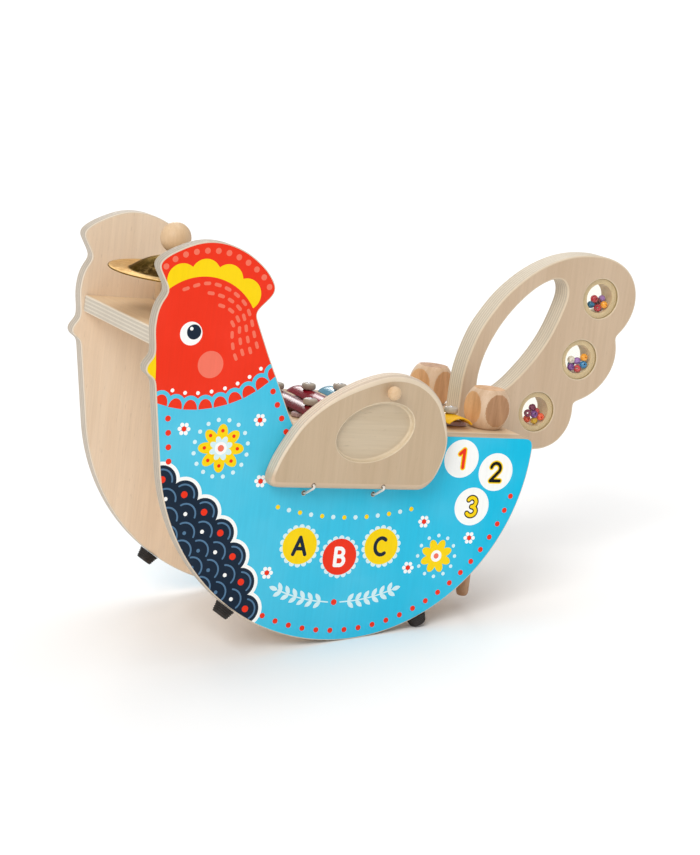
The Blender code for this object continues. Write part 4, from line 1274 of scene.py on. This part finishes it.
def cymbal_profile():
    """A wide dome and a ring that turns up a little; heights from the pivot."""
    curve, base, hole, top_z = 44.5, 31.5, 4.8, 113.3
    low = top_z - sqrt(curve ** 2 - hole ** 2)
    top = []
    for i in range(33):
        r = hole + (base - hole) * i / 32
        top.append([r, low + sqrt(curve ** 2 - r ** 2)])
    z0 = top[-1][1]
    for i in range(1, 15):
        t = i / 14
        top.append([base + (CYMBAL_R - 0.4 - base) * t, z0 + (RIM_Z - z0) * t])
    for _ in range(10):                              # ease the fold between the two
        for k in range(28, 38):
            top[k][1] += 0.5 * ((top[k - 1][1] + top[k + 1][1]) / 2 - top[k][1])
    rim = [(CYMBAL_R - 0.12, RIM_Z - 0.1), (CYMBAL_R, RIM_Z - 0.4), (CYMBAL_R - 0.05, RIM_Z - 0.75)]
    prof = [tuple(q) for q in top] + rim + [(r, z - 1.0) for r, z in reversed(top)]
    return [(r, z - CYMBAL_PIVOT) for r, z in prof]


cymbal = lathe("cymbal_spun", cymbal_profile(), 128, [brass()],
               TOY @ Matrix.Translation(Vector((CYMBAL_X, 0.0, CYMBAL_PIVOT)) * MM)
               @ Matrix.Rotation(radians(CYMBAL_TILT), 4, "X"), sharp=50.0)
keep_as(cymbal, "cymbal", "cymbal_brass", "cymbal")

ball_prof = [(11.2 * sin(radians(a)), 11.2 * cos(radians(a))) for a in
             [0.0] + [4.0 + 5.0 * i for i in range(32)]]
ball_prof = [q for q in ball_prof if q[1] > -10.4]
ball_prof += [(4.2, -10.42), (3.8, -10.2), (3.8, -5.3), (0.0, -5.3)]
ball = lathe("cymbal_ball_turned", ball_prof, 72, [knob_finish],
             TOY @ Matrix.Translation(Vector((CYMBAL_X, 0.0, 126.6)) * MM), sharp=42.0)
keep_as(ball, "frame", "knob_wood", "cymbal_ball")

# --------------------------------------------------------------------- tail
TAIL_T = 20.0
WINDOWS = [(237.0, 103.0), (225.3, 54.2), (192.7, 11.4)]
WINDOW_R, WINDOW_BORE, WINDOW_STEP = 15.7, 11.4, 2.1


def tail_outline():
    a = catmull([(122.5, -6.0), (122.6, 13.0), (123.6, 40.6), (130.9, 67.4), (140.4, 85.2),
                 (154.0, 103.0), (172.0, 118.6), (190.0, 128.8), (207.0, 134.4), (222.0, 136.2),
                 (237.3, 135.6), (250.8, 131.6), (260.9, 124.6), (267.5, 114.6), (269.8, 103.0),
                 (268.2, 92.0), (263.0, 81.4), (255.7, 73.2)], 8)
    b = catmull([(255.7, 73.2), (258.1, 64.5), (258.1, 54.5), (254.9, 44.2), (248.2, 34.2),
                 (238.3, 25.8), (225.2, 19.8)], 8)
    c = catmull([(225.2, 19.8), (225.6, 9.5), (222.6, -1.6), (214.8, -11.6), (204.4, -17.0),
                 (193.0, -18.6), (170.0, -19.8), (148.0, -20.4), (132.0, -20.3),
                 (125.5, -17.0), (122.5, -6.0)], 8)
    p = even(a + b[1:] + c[1:-1], 1.3)
    return relax(p, 5)


def leaf_outline():
    p = catmull([(136.4, 31.0), (137.2, 43.0), (141.2, 58.4), (149.6, 76.0), (161.2, 92.3),
                 (175.7, 106.6), (188.4, 114.4), (197.6, 116.6), (203.8, 113.4), (206.6, 105.6),
                 (204.6, 94.6), (197.0, 73.8), (186.4, 55.6), (173.2, 39.2), (162.6, 29.0),
                 (152.6, 23.4), (143.6, 21.8), (138.0, 24.6)], 8, closed=True)
    return relax(even(p, 1.3), 8)


tail_mats = [wood_face("tail_left_finish", "Z", shift=(0.3, 0.0, 0.7), pale=(213, 190, 164),
                       mid=(204, 179, 151), dark=(190, 163, 133)),
             ply_edge("tail_edge_finish", "Y", -10.0, 10.0, 13, tint=(1.03, 1.02, 1.0),
                      veneer=(218, 198, 170)),
             wood_face("tail_right_finish", "Z", shift=(1.3, 0.0, 0.2), pale=(213, 190, 164),
                       mid=(204, 179, 151), dark=(190, 163, 133)),
             wood_face("tail_seat_finish", "Z", shift=(0.9, 0.0, 1.2), pale=(222, 202, 166),
                       mid=(212, 190, 152), dark=(196, 172, 132)),
             # the short wall of each pane's seat: dark olive, painted shadow in the gap round the
             # pane's rim
             wood_face("tail_seat_wall_painted_shade", "Z", shift=(0.5, 0.0, 2.2), pale=(172, 152, 104),
                       mid=(158, 138, 90), dark=(140, 120, 74))]
tail = plate("tail_panel_board", tail_outline(),
             [leaf_outline()] + [circle(x, z, WINDOW_R, 96) for x, z in WINDOWS],
             -TAIL_T / 2, TAIL_T / 2, tail_mats, r=1.2, hole_r=(1.2, 0.8, 0.8, 0.8), seg=4,
             art_at="lo", ledges={k: (WINDOW_R - WINDOW_BORE, WINDOW_STEP, 3, 4)
                                  for k in (2, 3, 4)})
keep_as(tail, "frame", "tail_wood", "tail_panel")

clear = clear_look()
lens_r = WINDOW_R - GAP
for k, (wx, wz) in enumerate(WINDOWS):
    for side, sgn in (("left", -1.0), ("right", 1.0)):
        y = sgn * (TAIL_T / 2 - 0.2 - 0.8)
        ob = lathe("window_%d_%s_pane" % (k + 1, side),
                   [(0.0, 0.8), (lens_r - 0.25, 0.8), (lens_r, 0.55), (lens_r, -0.55),
                    (lens_r - 0.25, -0.8), (0.0, -0.8)], 88, [clear],
                   TOY @ Matrix.Translation(Vector((wx, y, wz)) * MM)
                   @ Matrix.Rotation(pi / 2, 4, "X"), sharp=30.0)
        keep_as(ob, "frame", "clear_plastic", "window_%d_%s_lens" % (k + 1, side))

BEADS = {
    "crimson": (176, 10, 40), "dark_red": (116, 8, 28), "lilac": (160, 116, 196),
    "amber": (242, 160, 12), "teal": (8, 112, 160), "purple": (112, 52, 142),
    "white": (232, 228, 220), "rose": (206, 64, 74), "plum": (122, 20, 74),
    "coral": (244, 86, 40), "mustard": (208, 168, 16), "yellow": (250, 196, 10),
    "blue": (20, 124, 184),
}
bead_mats = {k: bead_look("bead_" + k, v) for k, v in BEADS.items()}
# where each bead rests, from its window's centre
BEAD_LAYOUT = [
    [(-3.0, -5.2, -0.8, "crimson"), (7.5, 0.4, -1.2, "lilac"), (2.4, -1.6, -3.2, "dark_red"),
     (-3.5, -2.3, -5.8, "teal"), (6.7, -5.1, -5.1, "amber"), (1.2, -5.1, -7.8, "crimson"),
     (3.8, 3.5, -5.8, "purple")],
    [(-2.8, -2.3, -1.5, "white"), (3.0, -1.8, -2.3, "lilac"), (-3.5, -4.4, -6.9, "purple"),
     (2.6, -4.1, -8.0, "rose"), (7.2, -5.2, -4.5, "blue"), (7.0, -5.1, 1.3, "amber"),
     (0.5, 2.1, -5.9, "teal")],
    [(1.0, -1.5, 1.8, "plum"), (-4.8, -5.2, -2.0, "plum"), (1.0, -5.2, -2.7, "purple"),
     (-2.3, -1.0, -7.3, "coral"), (2.8, -3.6, -8.0, "mustard"), (7.2, -5.2, -4.5, "coral"),
     (5.7, -0.3, -1.5, "rose")],
]


def bead_shape(r, bore, turns=20, rings=11):
    """A slightly flattened glass bead with a hole through it, about z."""
    prof = []
    a0 = math.asin(bore / r)
    for i in range(rings):
        a = a0 + (pi - 2 * a0) * i / (rings - 1)
        prof.append((r * sin(a), r * 0.93 * cos(a)))
    inner = [(bore * 0.86, -r * 0.93 * cos(a0) * 0.72), (bore * 0.86, r * 0.93 * cos(a0) * 0.72)]
    prof += inner
    verts, faces = [], []
    for q, z in prof:
        for k in range(turns):
            a = 2 * pi * k / turns
            verts.append((q * cos(a), q * sin(a), z))
    m = len(prof)
    for i in range(m):
        for k in range(turns):
            k2, i2 = (k + 1) % turns, (i + 1) % m
            faces.append([i * turns + k, i * turns + k2, i2 * turns + k2, i2 * turns + k])
    return verts, faces


bead_v, bead_f = bead_shape(3.02, 0.78)
spin = [(0.9, 0.4), (0.25, 2.1), (1.2, 1.0), (0.6, 3.3), (1.35, 4.4), (0.4, 5.1), (0.8, 5.8)]
for k, (wx, wz) in enumerate(WINDOWS):
    parts, names = [], []
    for j, (bx, by, bz, tint) in enumerate(BEAD_LAYOUT[k]):
        c = Vector((bx, by, bz))
        tip, way = spin[(j + 2 * k) % len(spin)]
        m = Matrix.Rotation(way, 3, "Y") @ Matrix.Rotation(tip + 0.5, 3, "X")
        if tint not in names:
            names.append(tint)
        parts.append(([tuple(m @ Vector(v) + c) for v in bead_v], bead_f, names.index(tint)))
    v, f, s = merge(parts)
    ob = to_object("window_%d_bead_cluster" % (k + 1), v, f, s, [bead_mats[t] for t in names],
                   TOY @ Matrix.Translation(Vector((wx, 0.0, wz)) * MM))
    ob.data.set_sharp_from_angle(angle=radians(50.0))
    keep_as(ob, "rattle_%d" % (k + 1), "bead_mix", "window_%d_beads" % (k + 1))

# -------------------------------------------------------------------- wings
WING_T, WING_GAP, HINGE_Z = 14.0, 0.4, -33.7
KNOB_X, KNOB_Z, KNOB_R = 17.0, 38.6, 5.4


def wing_outline():
    top = catmull([(-68.8, -28.6), (-65.2, -16.6), (-59.0, -3.7), (-48.8, 12.2), (-35.2, 25.3),
                   (-20.8, 35.6), (-6.2, 43.5), (7.8, 48.5), (19.5, 50.7), (32.1, 50.0),
                   (43.6, 46.3), (53.8, 39.6), (62.6, 29.3), (67.4, 14.6), (69.0, 1.4),
                   (67.2, -11.0), (63.6, -20.6), (59.2, -28.6)], 8)
    a = catmull([(59.2, -28.6), (56.4, -31.8), (51.6, HINGE_Z)], 6)[1:]
    b = catmull([(-63.2, HINGE_Z), (-67.8, -32.2), (-68.8, -28.6)], 6)[:-1]
    return relax(even(top + a + b, 1.3), 5)


def wing_round(u, v):
    """Rounded over well along the bottom and the crown, little elsewhere."""
    def ease(t):
        t = min(1.0, max(0.0, t))
        return t * t * (3 - 2 * t)
    return 1.7 + 2.8 * ease((-24.0 - v) / 8.0) + 2.9 * ease((u + 42.0) / 44.0) * ease(v / 26.0)


dish_lip = ellipse(9.0, 8.6, 32.2, 21.2, 19.4, 120)
dish = []
for i in range(1, 5):                                # lip rolls over
    a = radians(82.0 * i / 4)
    dish.append((0.75 * sin(a), 0.75 * (1 - cos(a)), degrees(a)))
x0, d0 = dish[-1][0], dish[-1][1]
dish.append((x0 + 2.1 / tan(radians(82.0)), d0 + 2.1, 82.0))
x0, d0 = dish[-1][0], dish[-1][1]
round_r = (4.0 - d0) / (1 - cos(radians(82.0)))
for i in range(1, 6):                                # and turns into the floor
    a = radians(82.0 * (1 - i / 5))
    dish.append((x0 + round_r * (sin(radians(82.0)) - sin(a)),
                 d0 + round_r * (cos(a) - cos(radians(82.0))), degrees(a)))
for side, sgn in (("left", -1.0),):
    y_in, y_out = sgn * (HALF + WING_GAP), sgn * (HALF + WING_GAP + WING_T)
    lo, hi = sorted((y_in, y_out))
    face = wood_face(side + "_wing_face_finish", "Z", shift=(0.2 + sgn, 0.0, 1.1),
                     pale=(206, 183, 155), mid=(197, 173, 143), dark=(184, 158, 126))
    mats = [face, ply_edge(side + "_wing_edge_finish", "Y", lo, hi, 9, tint=(1.05, 1.01, 0.985),
                           veneer=(224, 206, 180), below=(203, 176, 147), seams=0.28),
            wood_face(side + "_wing_back_finish", "Z", shift=(1.2 + sgn, 0.0, 0.4)),
            wood_face(side + "_wing_floor_finish", "X", shift=(0.2, 0.0, 2.1),
                      pale=(212, 196, 170), mid=(203, 185, 158), dark=(188, 168, 138)),
            wood_face(side + "_wing_wall_finish", "X", shift=(0.6, 0.0, 1.4),
                      pale=(230, 214, 188), mid=(220, 202, 173), dark=(202, 181, 150))]
    wing = plate(side + "_wing_board", wing_outline(), [], lo, hi, mats, r=wing_round, seg=6,
                 art_at="lo" if sgn < 0 else "hi", dishes=[(dish_lip, dish, (4, 3))])
    # the two cord holes come out through the rounded lower edge
    cutters = []
    for k, x in enumerate(CORD_X):
        v, f = tube([(x, sgn * (HALF - 10.0), CORD_WING_Z), (x, sgn * (HALF + 30.0), CORD_WING_Z)],
                    1.55, 24)
        cutter = to_object("cutter_%s_%d" % (side, k), v, f, None, [mats[1]])
        cutters.append(cutter)
        mod = wing.modifiers.new("hole_%d" % k, "BOOLEAN")
        mod.operation, mod.solver, mod.object = "DIFFERENCE", "EXACT", cutter
    bpy.context.view_layer.update()
    shaped = bpy.data.meshes.new_from_object(
        wing.evaluated_get(bpy.context.evaluated_depsgraph_get()))
    wing.modifiers.clear()
    wing.data = shaped
    for c in cutters:
        bpy.data.objects.remove(c, do_unlink=True)
    keep_as(wing, side + "_wing", "wing_wood", side + "_wing")

    out = HALF + WING_GAP + WING_T
    ball_r = KNOB_R - 0.35
    prof = [(0.0, ball_r * 2 + 0.5)]
    for a in range(84, -54, -6):
        prof.append((ball_r * cos(radians(a)), ball_r + 0.5 + ball_r * sin(radians(a))))
    prof += [(2.9, 0.9), (2.7, GAP), (0.0, GAP)]
    knob = lathe(side + "_wing_knob_turned", prof, 48, [knob_finish],
                 TOY @ Matrix.Translation(Vector((KNOB_X, sgn * out, KNOB_Z)) * MM)
                 @ Matrix.Rotation(-sgn * pi / 2, 4, "X"), sharp=45.0)
    keep_as(knob, side + "_wing", "knob_wood", side + "_wing_knob")

# elastic cords, knotted inside the panels and let into the wings
cord_look = Look("elastic_cord_finish", rough=0.75, specular=0.3)
xw, yw, zw = cord_look.xyz()
weave = cord_look.math("SINE", cord_look.math(
    "MULTIPLY", cord_look.math("ADD", cord_look.math("ADD", xw, yw), zw), 2 * pi / 0.0007))
cross = cord_look.math("SINE", cord_look.math(
    "MULTIPLY", cord_look.math("SUBTRACT", cord_look.math("ADD", yw, zw), xw), 2 * pi / 0.0007))
braid = cord_look.math("MULTIPLY", weave, cross)
grime = cord_look.noise(cord_look.coords(), 300.0, 3.0)
cord_look.color(cord_look.mix(cord_look.ramp(grime, [(0.40, 0.0), (0.75, 0.5)]),
                              lin(238, 234, 226), lin(200, 190, 176)))
cord_look.spread(grime, 0.65, 0.85)
cord_look.bump(braid, 0.5, 0.0002)
ROUTE = [(62.8, -40.0), (65.0, -40.0), (67.2, -40.0), (71.0, -40.0), (76.0, -40.0), (80.4, -39.9),
         (84.4, -38.5), (88.4, -36.4), (91.8, -34.6), (94.4, -33.1), (95.2, -31.9), (94.6, -31.1),
         (93.0, -30.9), (90.0, -30.9), (87.0, -30.9)]
for side, sgn in (("left", -1.0),):
    for k, x in enumerate(CORD_X):
        fine = catmull(ROUTE, 5)
        pts = [(x * MM, sgn * y * MM, z * MM) for y, z in fine]
        rad = []
        for y, z in fine:
            knot = 1.45 * max(0.0, 1.0 - ((y - 64.2) / 2.4) ** 2) ** 0.5 if abs(y - 64.2) < 2.4 else 0.0
            if z < -39.0 and y < 67.5:
                rad.append((0.85 + knot) * MM)
            else:
                rad.append(0.85 * MM)
        v, f = tube(pts, rad, 14)
        v = [tuple(TOY @ Vector(q)) for q in v]
        me = bpy.data.meshes.new("%s_wing_cord_%d_elastic" % (side, k + 1))
        me.from_pydata(v, [], f)
        me.materials.append(cord_look.m)
        me.polygons.foreach_set("use_smooth", [True] * len(me.polygons))
        ob = bpy.data.objects.new(me.name, me)
        scene.collection.objects.link(ob)
        a = TOY @ (Vector((x, sgn * 80.6, -39.9)) * MM)
        b = TOY @ (Vector((x, sgn * 94.0, -34.6)) * MM)
        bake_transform(ob)
        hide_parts("%s_wing_cord_%d" % (side, k + 1))

# --------------------------------------------------------------------- feet
rub = rubber("foot_rubber_finish", (34, 29, 27), (52, 45, 41), 1100.0, (0.48, 0.72))
lean_rear = radians(28.5 - ROCK_BACK)
foot_h = (BELLY_R - 6.0 * sin(lean_rear)) / cos(lean_rear) - BELLY_R
for where, ang in (("front", -33.5), ("rear", 28.5)):
    for side, sgn in (("left", -1.0), ("right", 1.0)):
        a = radians(ang)
        prof = [(0.0, foot_h), (4.6, foot_h), (5.5, foot_h - 0.12), (6.0, foot_h - 0.5),
                (6.15, foot_h - 0.9)]
        n = 4
        for i in range(n):
            z = foot_h - 1.3 - (foot_h - 2.1) * i / n
            r = 6.25 + 1.35 * (i / n)
            step_z = (foot_h - 2.1) / n
            prof += [(r - 0.18, z), (r + 0.28, z - 0.25 * step_z), (r + 0.32, z - 0.55 * step_z),
                     (r - 0.08, z - 0.88 * step_z)]
        prof += [(7.75, 1.0), (7.9, 0.75), (7.9, GAP), (0.0, GAP)]
        out = Vector((sin(a), 0.0, -cos(a)))
        rot = out.to_track_quat("Z", "Y").to_matrix().to_4x4()
        ob = lathe("%s_%s_rubber_foot" % (where, side), prof, 48, [rub],
                   TOY @ Matrix.Translation(Vector((BELLY_R * sin(a), sgn * 74.0,
                                                    -BELLY_R * cos(a))) * MM) @ rot, sharp=60.0)
        keep_as(ob, "frame", "foot_rubber", "%s_%s_foot" % (where, side))

# ------------------------------------------------------------------ mallets
HEAD_W, HEAD_H, HEAD_R, HEAD_RZ, STICK_R = 13.6, 15.0, 17.4, 19.9, 4.75
flat_wood = beech("mallet_flat_finish", pale=(230, 184, 136), mid=(217, 168, 120),
                  dark=(197, 147, 100), ray=(170, 118, 76))
end_grain_and_shade_wood = beech("mallet_end_grain_and_shade", pale=(198, 153, 112), mid=(185, 139, 98),
                 dark=(164, 118, 79), ray=(138, 95, 60))
band_wood = beech("mallet_band_finish", pale=(224, 198, 170), mid=(214, 184, 154),
                  dark=(198, 165, 132), ray=(176, 138, 102))
stick_wood = beech("stick_finish", pale=(204, 162, 126), mid=(184, 140, 104), dark=(160, 116, 82))


def mallet_head(name, matrix, end):
    """A block whose corners an egg shape has rounded off, with eased rims.
    The two flats across axis end take a darker beech: end grain, and on the left mallet also painted
    shade on the flat turned away from the light."""
    bm = bmesh.new()
    bmesh.ops.create_cube(bm, size=2.0)
    bmesh.ops.subdivide_edges(bm, edges=list(bm.edges), cuts=39, use_grid_fill=True)
    soft = 9.0

    def reach(d):
        flat = 1.0 / max(abs(d.x) / HEAD_W, abs(d.y) / HEAD_W, abs(d.z) / HEAD_H)
        egg = 1.0 / sqrt((d.x / HEAD_R) ** 2 + (d.y / HEAD_R) ** 2 + (d.z / HEAD_RZ) ** 2)
        return flat, egg

    for v in bm.verts:
        d = v.co.normalized()
        flat, egg = reach(d)
        v.co = d * (min(flat, egg) - math.log(1 + math.exp(-abs(flat - egg) * soft)) / soft)
    me = bpy.data.meshes.new(name)
    bm.to_mesh(me)
    bm.free()
    me.materials.append(flat_wood)
    me.materials.append(band_wood)
    me.materials.append(end_grain_and_shade_wood)
    for p in me.polygons:
        d = p.center.normalized()
        flat, egg = reach(d)
        lead = [abs(d.x) / HEAD_W, abs(d.y) / HEAD_W, abs(d.z) / HEAD_H]
        p.material_index = 1 if flat >= egg else 2 if lead.index(max(lead)) == end else 0
    me.transform(Matrix.Scale(MM, 4))
    ob = bpy.data.objects.new(name, me)
    scene.collection.objects.link(ob)
    ob.matrix_world = matrix
    v, f = tube([(0, 0, -20.0), (0, 0, -7.7)], STICK_R + GAP, 48)
    bore = to_object(name + "_bore", v, f, None, [flat_wood], matrix)
    mod = ob.modifiers.new("bore", "BOOLEAN")
    mod.operation, mod.solver, mod.object = "DIFFERENCE", "EXACT", bore
    bpy.context.view_layer.update()
    cut = bpy.data.meshes.new_from_object(ob.evaluated_get(bpy.context.evaluated_depsgraph_get()))
    ob.modifiers.clear()
    ob.data = cut
    bpy.data.objects.remove(bore, do_unlink=True)
    cut.polygons.foreach_set("use_smooth", [True] * len(cut.polygons))
    cut.set_sharp_from_angle(angle=radians(24.0))
    return ob


# end picks the flats that take the darker beech; on the left mallet that darker colour is painted shade
# on the flat turned from the light
for side, sgn, turn, end in (("left", -1.0, 6.0, 1), ("right", 1.0, 19.0, 2)):
    base = TOY @ Matrix.Translation(Vector((127.0, sgn * 45.0, 0.0)) * MM)
    head = mallet_head(side + "_mallet_head_beech",
                       base @ Matrix.Translation((0, 0, (5.0 + GAP + HEAD_H) * MM))
                       @ Matrix.Rotation(radians(turn), 4, "Z"), end)
    keep_as(head, side + "_mallet", "mallet_wood", side + "_mallet_head")
    prof = [(0.0, 12.0), (4.4, 12.0), (STICK_R, 11.6), (STICK_R, 5.0), (STICK_R, -40.0),
            (STICK_R, -80.0), (STICK_R, -121.5)]
    for i in range(1, 9):
        a = radians(90.0 * i / 8)
        prof.append((STICK_R * (1 - 0.42 * (1 - cos(a))) if i < 8 else 0.0,
                     -121.5 - 4.5 * sin(a)))
    ob = lathe(side + "_mallet_stick_dowel", prof, 40, [stick_wood], base, sharp=50.0)
    keep_as(ob, side + "_mallet", "stick_wood", side + "_mallet_stick")

# ---------------------------------------------------------------- xylophone
BAR_W, BAR_SAG, BAR_T, BAR_BOTTOM, OVER = 20.5, 4.5, 1.2, 9.7, 17.0
BAR_TINTS = [("dark_red", (108, 3, 18), (144, 26, 46)), ("red", (130, 5, 30), (180, 42, 74)),
             ("blue", (88, 146, 170), (150, 194, 210)), ("green", (74, 158, 70), (150, 206, 140)),
             ("yellow", (236, 178, 18), (250, 214, 96))]
r_out = BAR_W ** 2 / (8 * BAR_SAG) + BAR_SAG / 2
half_a = degrees(atan2(BAR_W / 2, r_out - BAR_SAG))
zc = BAR_BOTTOM + BAR_SAG - r_out
pin = Look("pin_steel_finish", metal=1.0)
pin_scratch = pin.noise(pin.coords(), 1800.0, 3.0)
pin.color(pin.ramp(pin_scratch, [(0.35, lin(170, 172, 176)), (0.70, lin(222, 224, 228))]))
pin.spread(pin_scratch, 0.16, 0.34)
pad_rub = rubber("pad_rubber_finish", (172, 160, 146), (192, 181, 166), 1000.0, (0.24, 0.38), 0.2)
for i, x in enumerate(BAR_XS):
    s = SPACING[i]
    look = enamel("bar_%s_finish" % BAR_TINTS[i][0], BAR_TINTS[i][1], BAR_TINTS[i][2])
    under = r_out - BAR_T
    sect = []
    steps = 20
    for k in range(steps + 1):                       # outside, front to back
        sect.append((r_out, 90 + half_a - 2 * half_a * k / steps, 0))
    # then the inside, back to front
    for k in range(steps + 1):
        sect.append((under, 90 - half_a + 2 * half_a * k / steps, 1))
    ys = [-s - OVER, -s - OVER + 0.5] + [(-s - OVER) + (2 * (s + OVER)) * k / 16 for k in range(1, 16)]
    ys += [s + OVER - 0.5, s + OVER]
    verts, faces = [], []
    for j, y in enumerate(ys):
        end = 0.35 if j in (0, len(ys) - 1) else 0.0
        for r, a, inside in sect:
            q = r + (end if inside else -end)
            verts.append((x + q * cos(radians(a)), y, zc + q * sin(radians(a))))
    m = len(sect)
    for j in range(len(ys) - 1):
        for k in range(m):
            k2 = (k + 1) % m
            faces.append([j * m + k, j * m + k2, (j + 1) * m + k2, (j + 1) * m + k])
    for j in (0, len(ys) - 1):
        for k in range(steps):
            faces.append([j * m + k, j * m + k + 1, j * m + m - 2 - k, j * m + m - 1 - k])
    bar = to_object("xylophone_bar_%d_plate" % (i + 1), verts, faces, None, [look])
    cutters = []
    for side in (-1, 1):
        v, f = tube([(x, side * s, 0.0), (x, side * s, 30.0)], 2.5, 28)
        c = to_object("bar_cutter", v, f, None, [look])
        cutters.append(c)
        mod = bar.modifiers.new("hole", "BOOLEAN")
        mod.operation, mod.solver, mod.object = "DIFFERENCE", "EXACT", c
    bpy.context.view_layer.update()
    cut = bpy.data.meshes.new_from_object(bar.evaluated_get(bpy.context.evaluated_depsgraph_get()))
    bar.modifiers.clear()
    bar.data = cut
    for c in cutters:
        bpy.data.objects.remove(c, do_unlink=True)
    cut.polygons.foreach_set("use_smooth", [True] * len(cut.polygons))
    cut.set_sharp_from_angle(angle=radians(40.0))
    keep_as(bar, "frame", "bar_" + BAR_TINTS[i][0], "xylophone_bar_%d" % (i + 1))
    for side, sgn in (("left", -1.0), ("right", 1.0)):
        z0 = BAR_BOTTOM + BAR_SAG + GAP
        prof = [(0.0, 5.3), (0.7, 5.26), (1.2, 5.12), (1.5, 4.9), (1.62, 4.72), (1.9, 4.66),
                (3.7, 4.64), (4.4, 4.5), (4.95, 4.1), (5.28, 3.5), (5.4, 2.8), (5.4, 1.7),
                (5.28, 0.9), (4.98, 0.3), (4.5, 0.0), (1.5, 0.0), (1.5, -4.0 - z0), (0.0, -4.0 - z0)]
        slots = [1] * 4 + [0] * 11 + [1] * 2
        ob = lathe("bar_%d_%s_pad_and_pin" % (i + 1, side), prof, 36, [pad_rub, pin.m],
                   TOY @ Matrix.Translation(Vector((x, sgn * s, z0)) * MM), slots=slots, sharp=55.0)
        keep_as(ob, "frame", "pad_rubber", "bar_%d_%s_stud" % (i + 1, side))

felt_strip = felt_look("strip_felt_finish", (176, 146, 152), (206, 182, 184))
slope = (SPACING[-1] - SPACING[0]) / (BAR_XS[-1] - BAR_XS[0])
for side, sgn in (("left", -1.0), ("right", 1.0)):
    ang = atan2(sgn * slope, 1.0)
    a0 = Vector((BAR_XS[0] - 9.0, sgn * (SPACING[0] - 9.0 * slope)))
    a1 = Vector((BAR_XS[-1] + 9.0, sgn * (SPACING[-1] + 9.0 * slope)))
    d, nrm = Vector((cos(ang), sin(ang))), Vector((-sin(ang), cos(ang)))
    ring = []
    for c, frm in ((a1, -90.0), (a0, 90.0)):
        for i in range(17):
            t = radians(frm + 180.0 * i / 16)
            p = c + (d * cos(t) + nrm * sin(t)) * 4.5
            ring.append((p.x, p.y))
    ob = plate(side + "_felt_strip_soft", even(ring, 1.6),
               [circle(BAR_XS[i], sgn * SPACING[i], 1.75, 12) for i in range(5)],
               5.0 + GAP, 5.0 + GAP + 3.3, [felt_strip, felt_strip, felt_strip], r=0.9,
               hole_r=(0.15,) * 5, seg=3, axis="Z", art_at="hi")
    keep_as(ob, "frame", "felt", side + "_felt_strip")

# --------------------------------------------------------- floor and lights
floor_look = Look("floor_finish", rough=0.9, specular=0.05)
speck = floor_look.noise(floor_look.coords(), 9.0, 3.0)
floor_look.color(floor_look.ramp(speck, [(0.3, (0.955, 0.955, 0.955, 1)),
                                         (0.7, (0.965, 0.965, 0.965, 1))]))
me = bpy.data.meshes.new("floor")
me.from_pydata([(-60, -60, 0), (60, -60, 0), (60, 60, 0), (-60, 60, 0)], [], [(0, 1, 2, 3)])
me.materials.append(floor_look.m)
floor = bpy.data.objects.new("floor", me)
floor.location.z = -0.0001
scene.collection.objects.link(floor)
floor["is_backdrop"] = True


def lamp(name, toward, spread_deg, power, tint=(1, 1, 1)):
    """A far, wide, soft light; toward points from the toy to the lamp."""
    d = bpy.data.lights.new(name, "SUN")
    d.angle, d.energy, d.color = radians(spread_deg), power, tint
    o = bpy.data.objects.new(name, d)
    o.rotation_mode = "QUATERNION"
    o.rotation_quaternion = (-Vector(toward)).to_track_quat("-Z", "Y")
    scene.collection.objects.link(o)
    return o


lamp("key_light", (-1.15, -1.0, 1.25), 34.0, 1.55, (1.0, 0.99, 0.97))
lamp("top_light", (0.35, 0.45, 1.6), 55.0, 1.0)
lamp("rim_light", (0.33, 0.87, 0.34), 14.0, 0.40)
world = bpy.data.worlds.new("studio")
world.use_nodes = True
world.node_tree.nodes["Background"].inputs[0].default_value = (1.0, 1.0, 1.0, 1.0)
world.node_tree.nodes["Background"].inputs[1].default_value = 0.5
scene.world = world
scene.view_settings.view_transform = "Standard"
scene.view_settings.look = "None"

lo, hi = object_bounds()
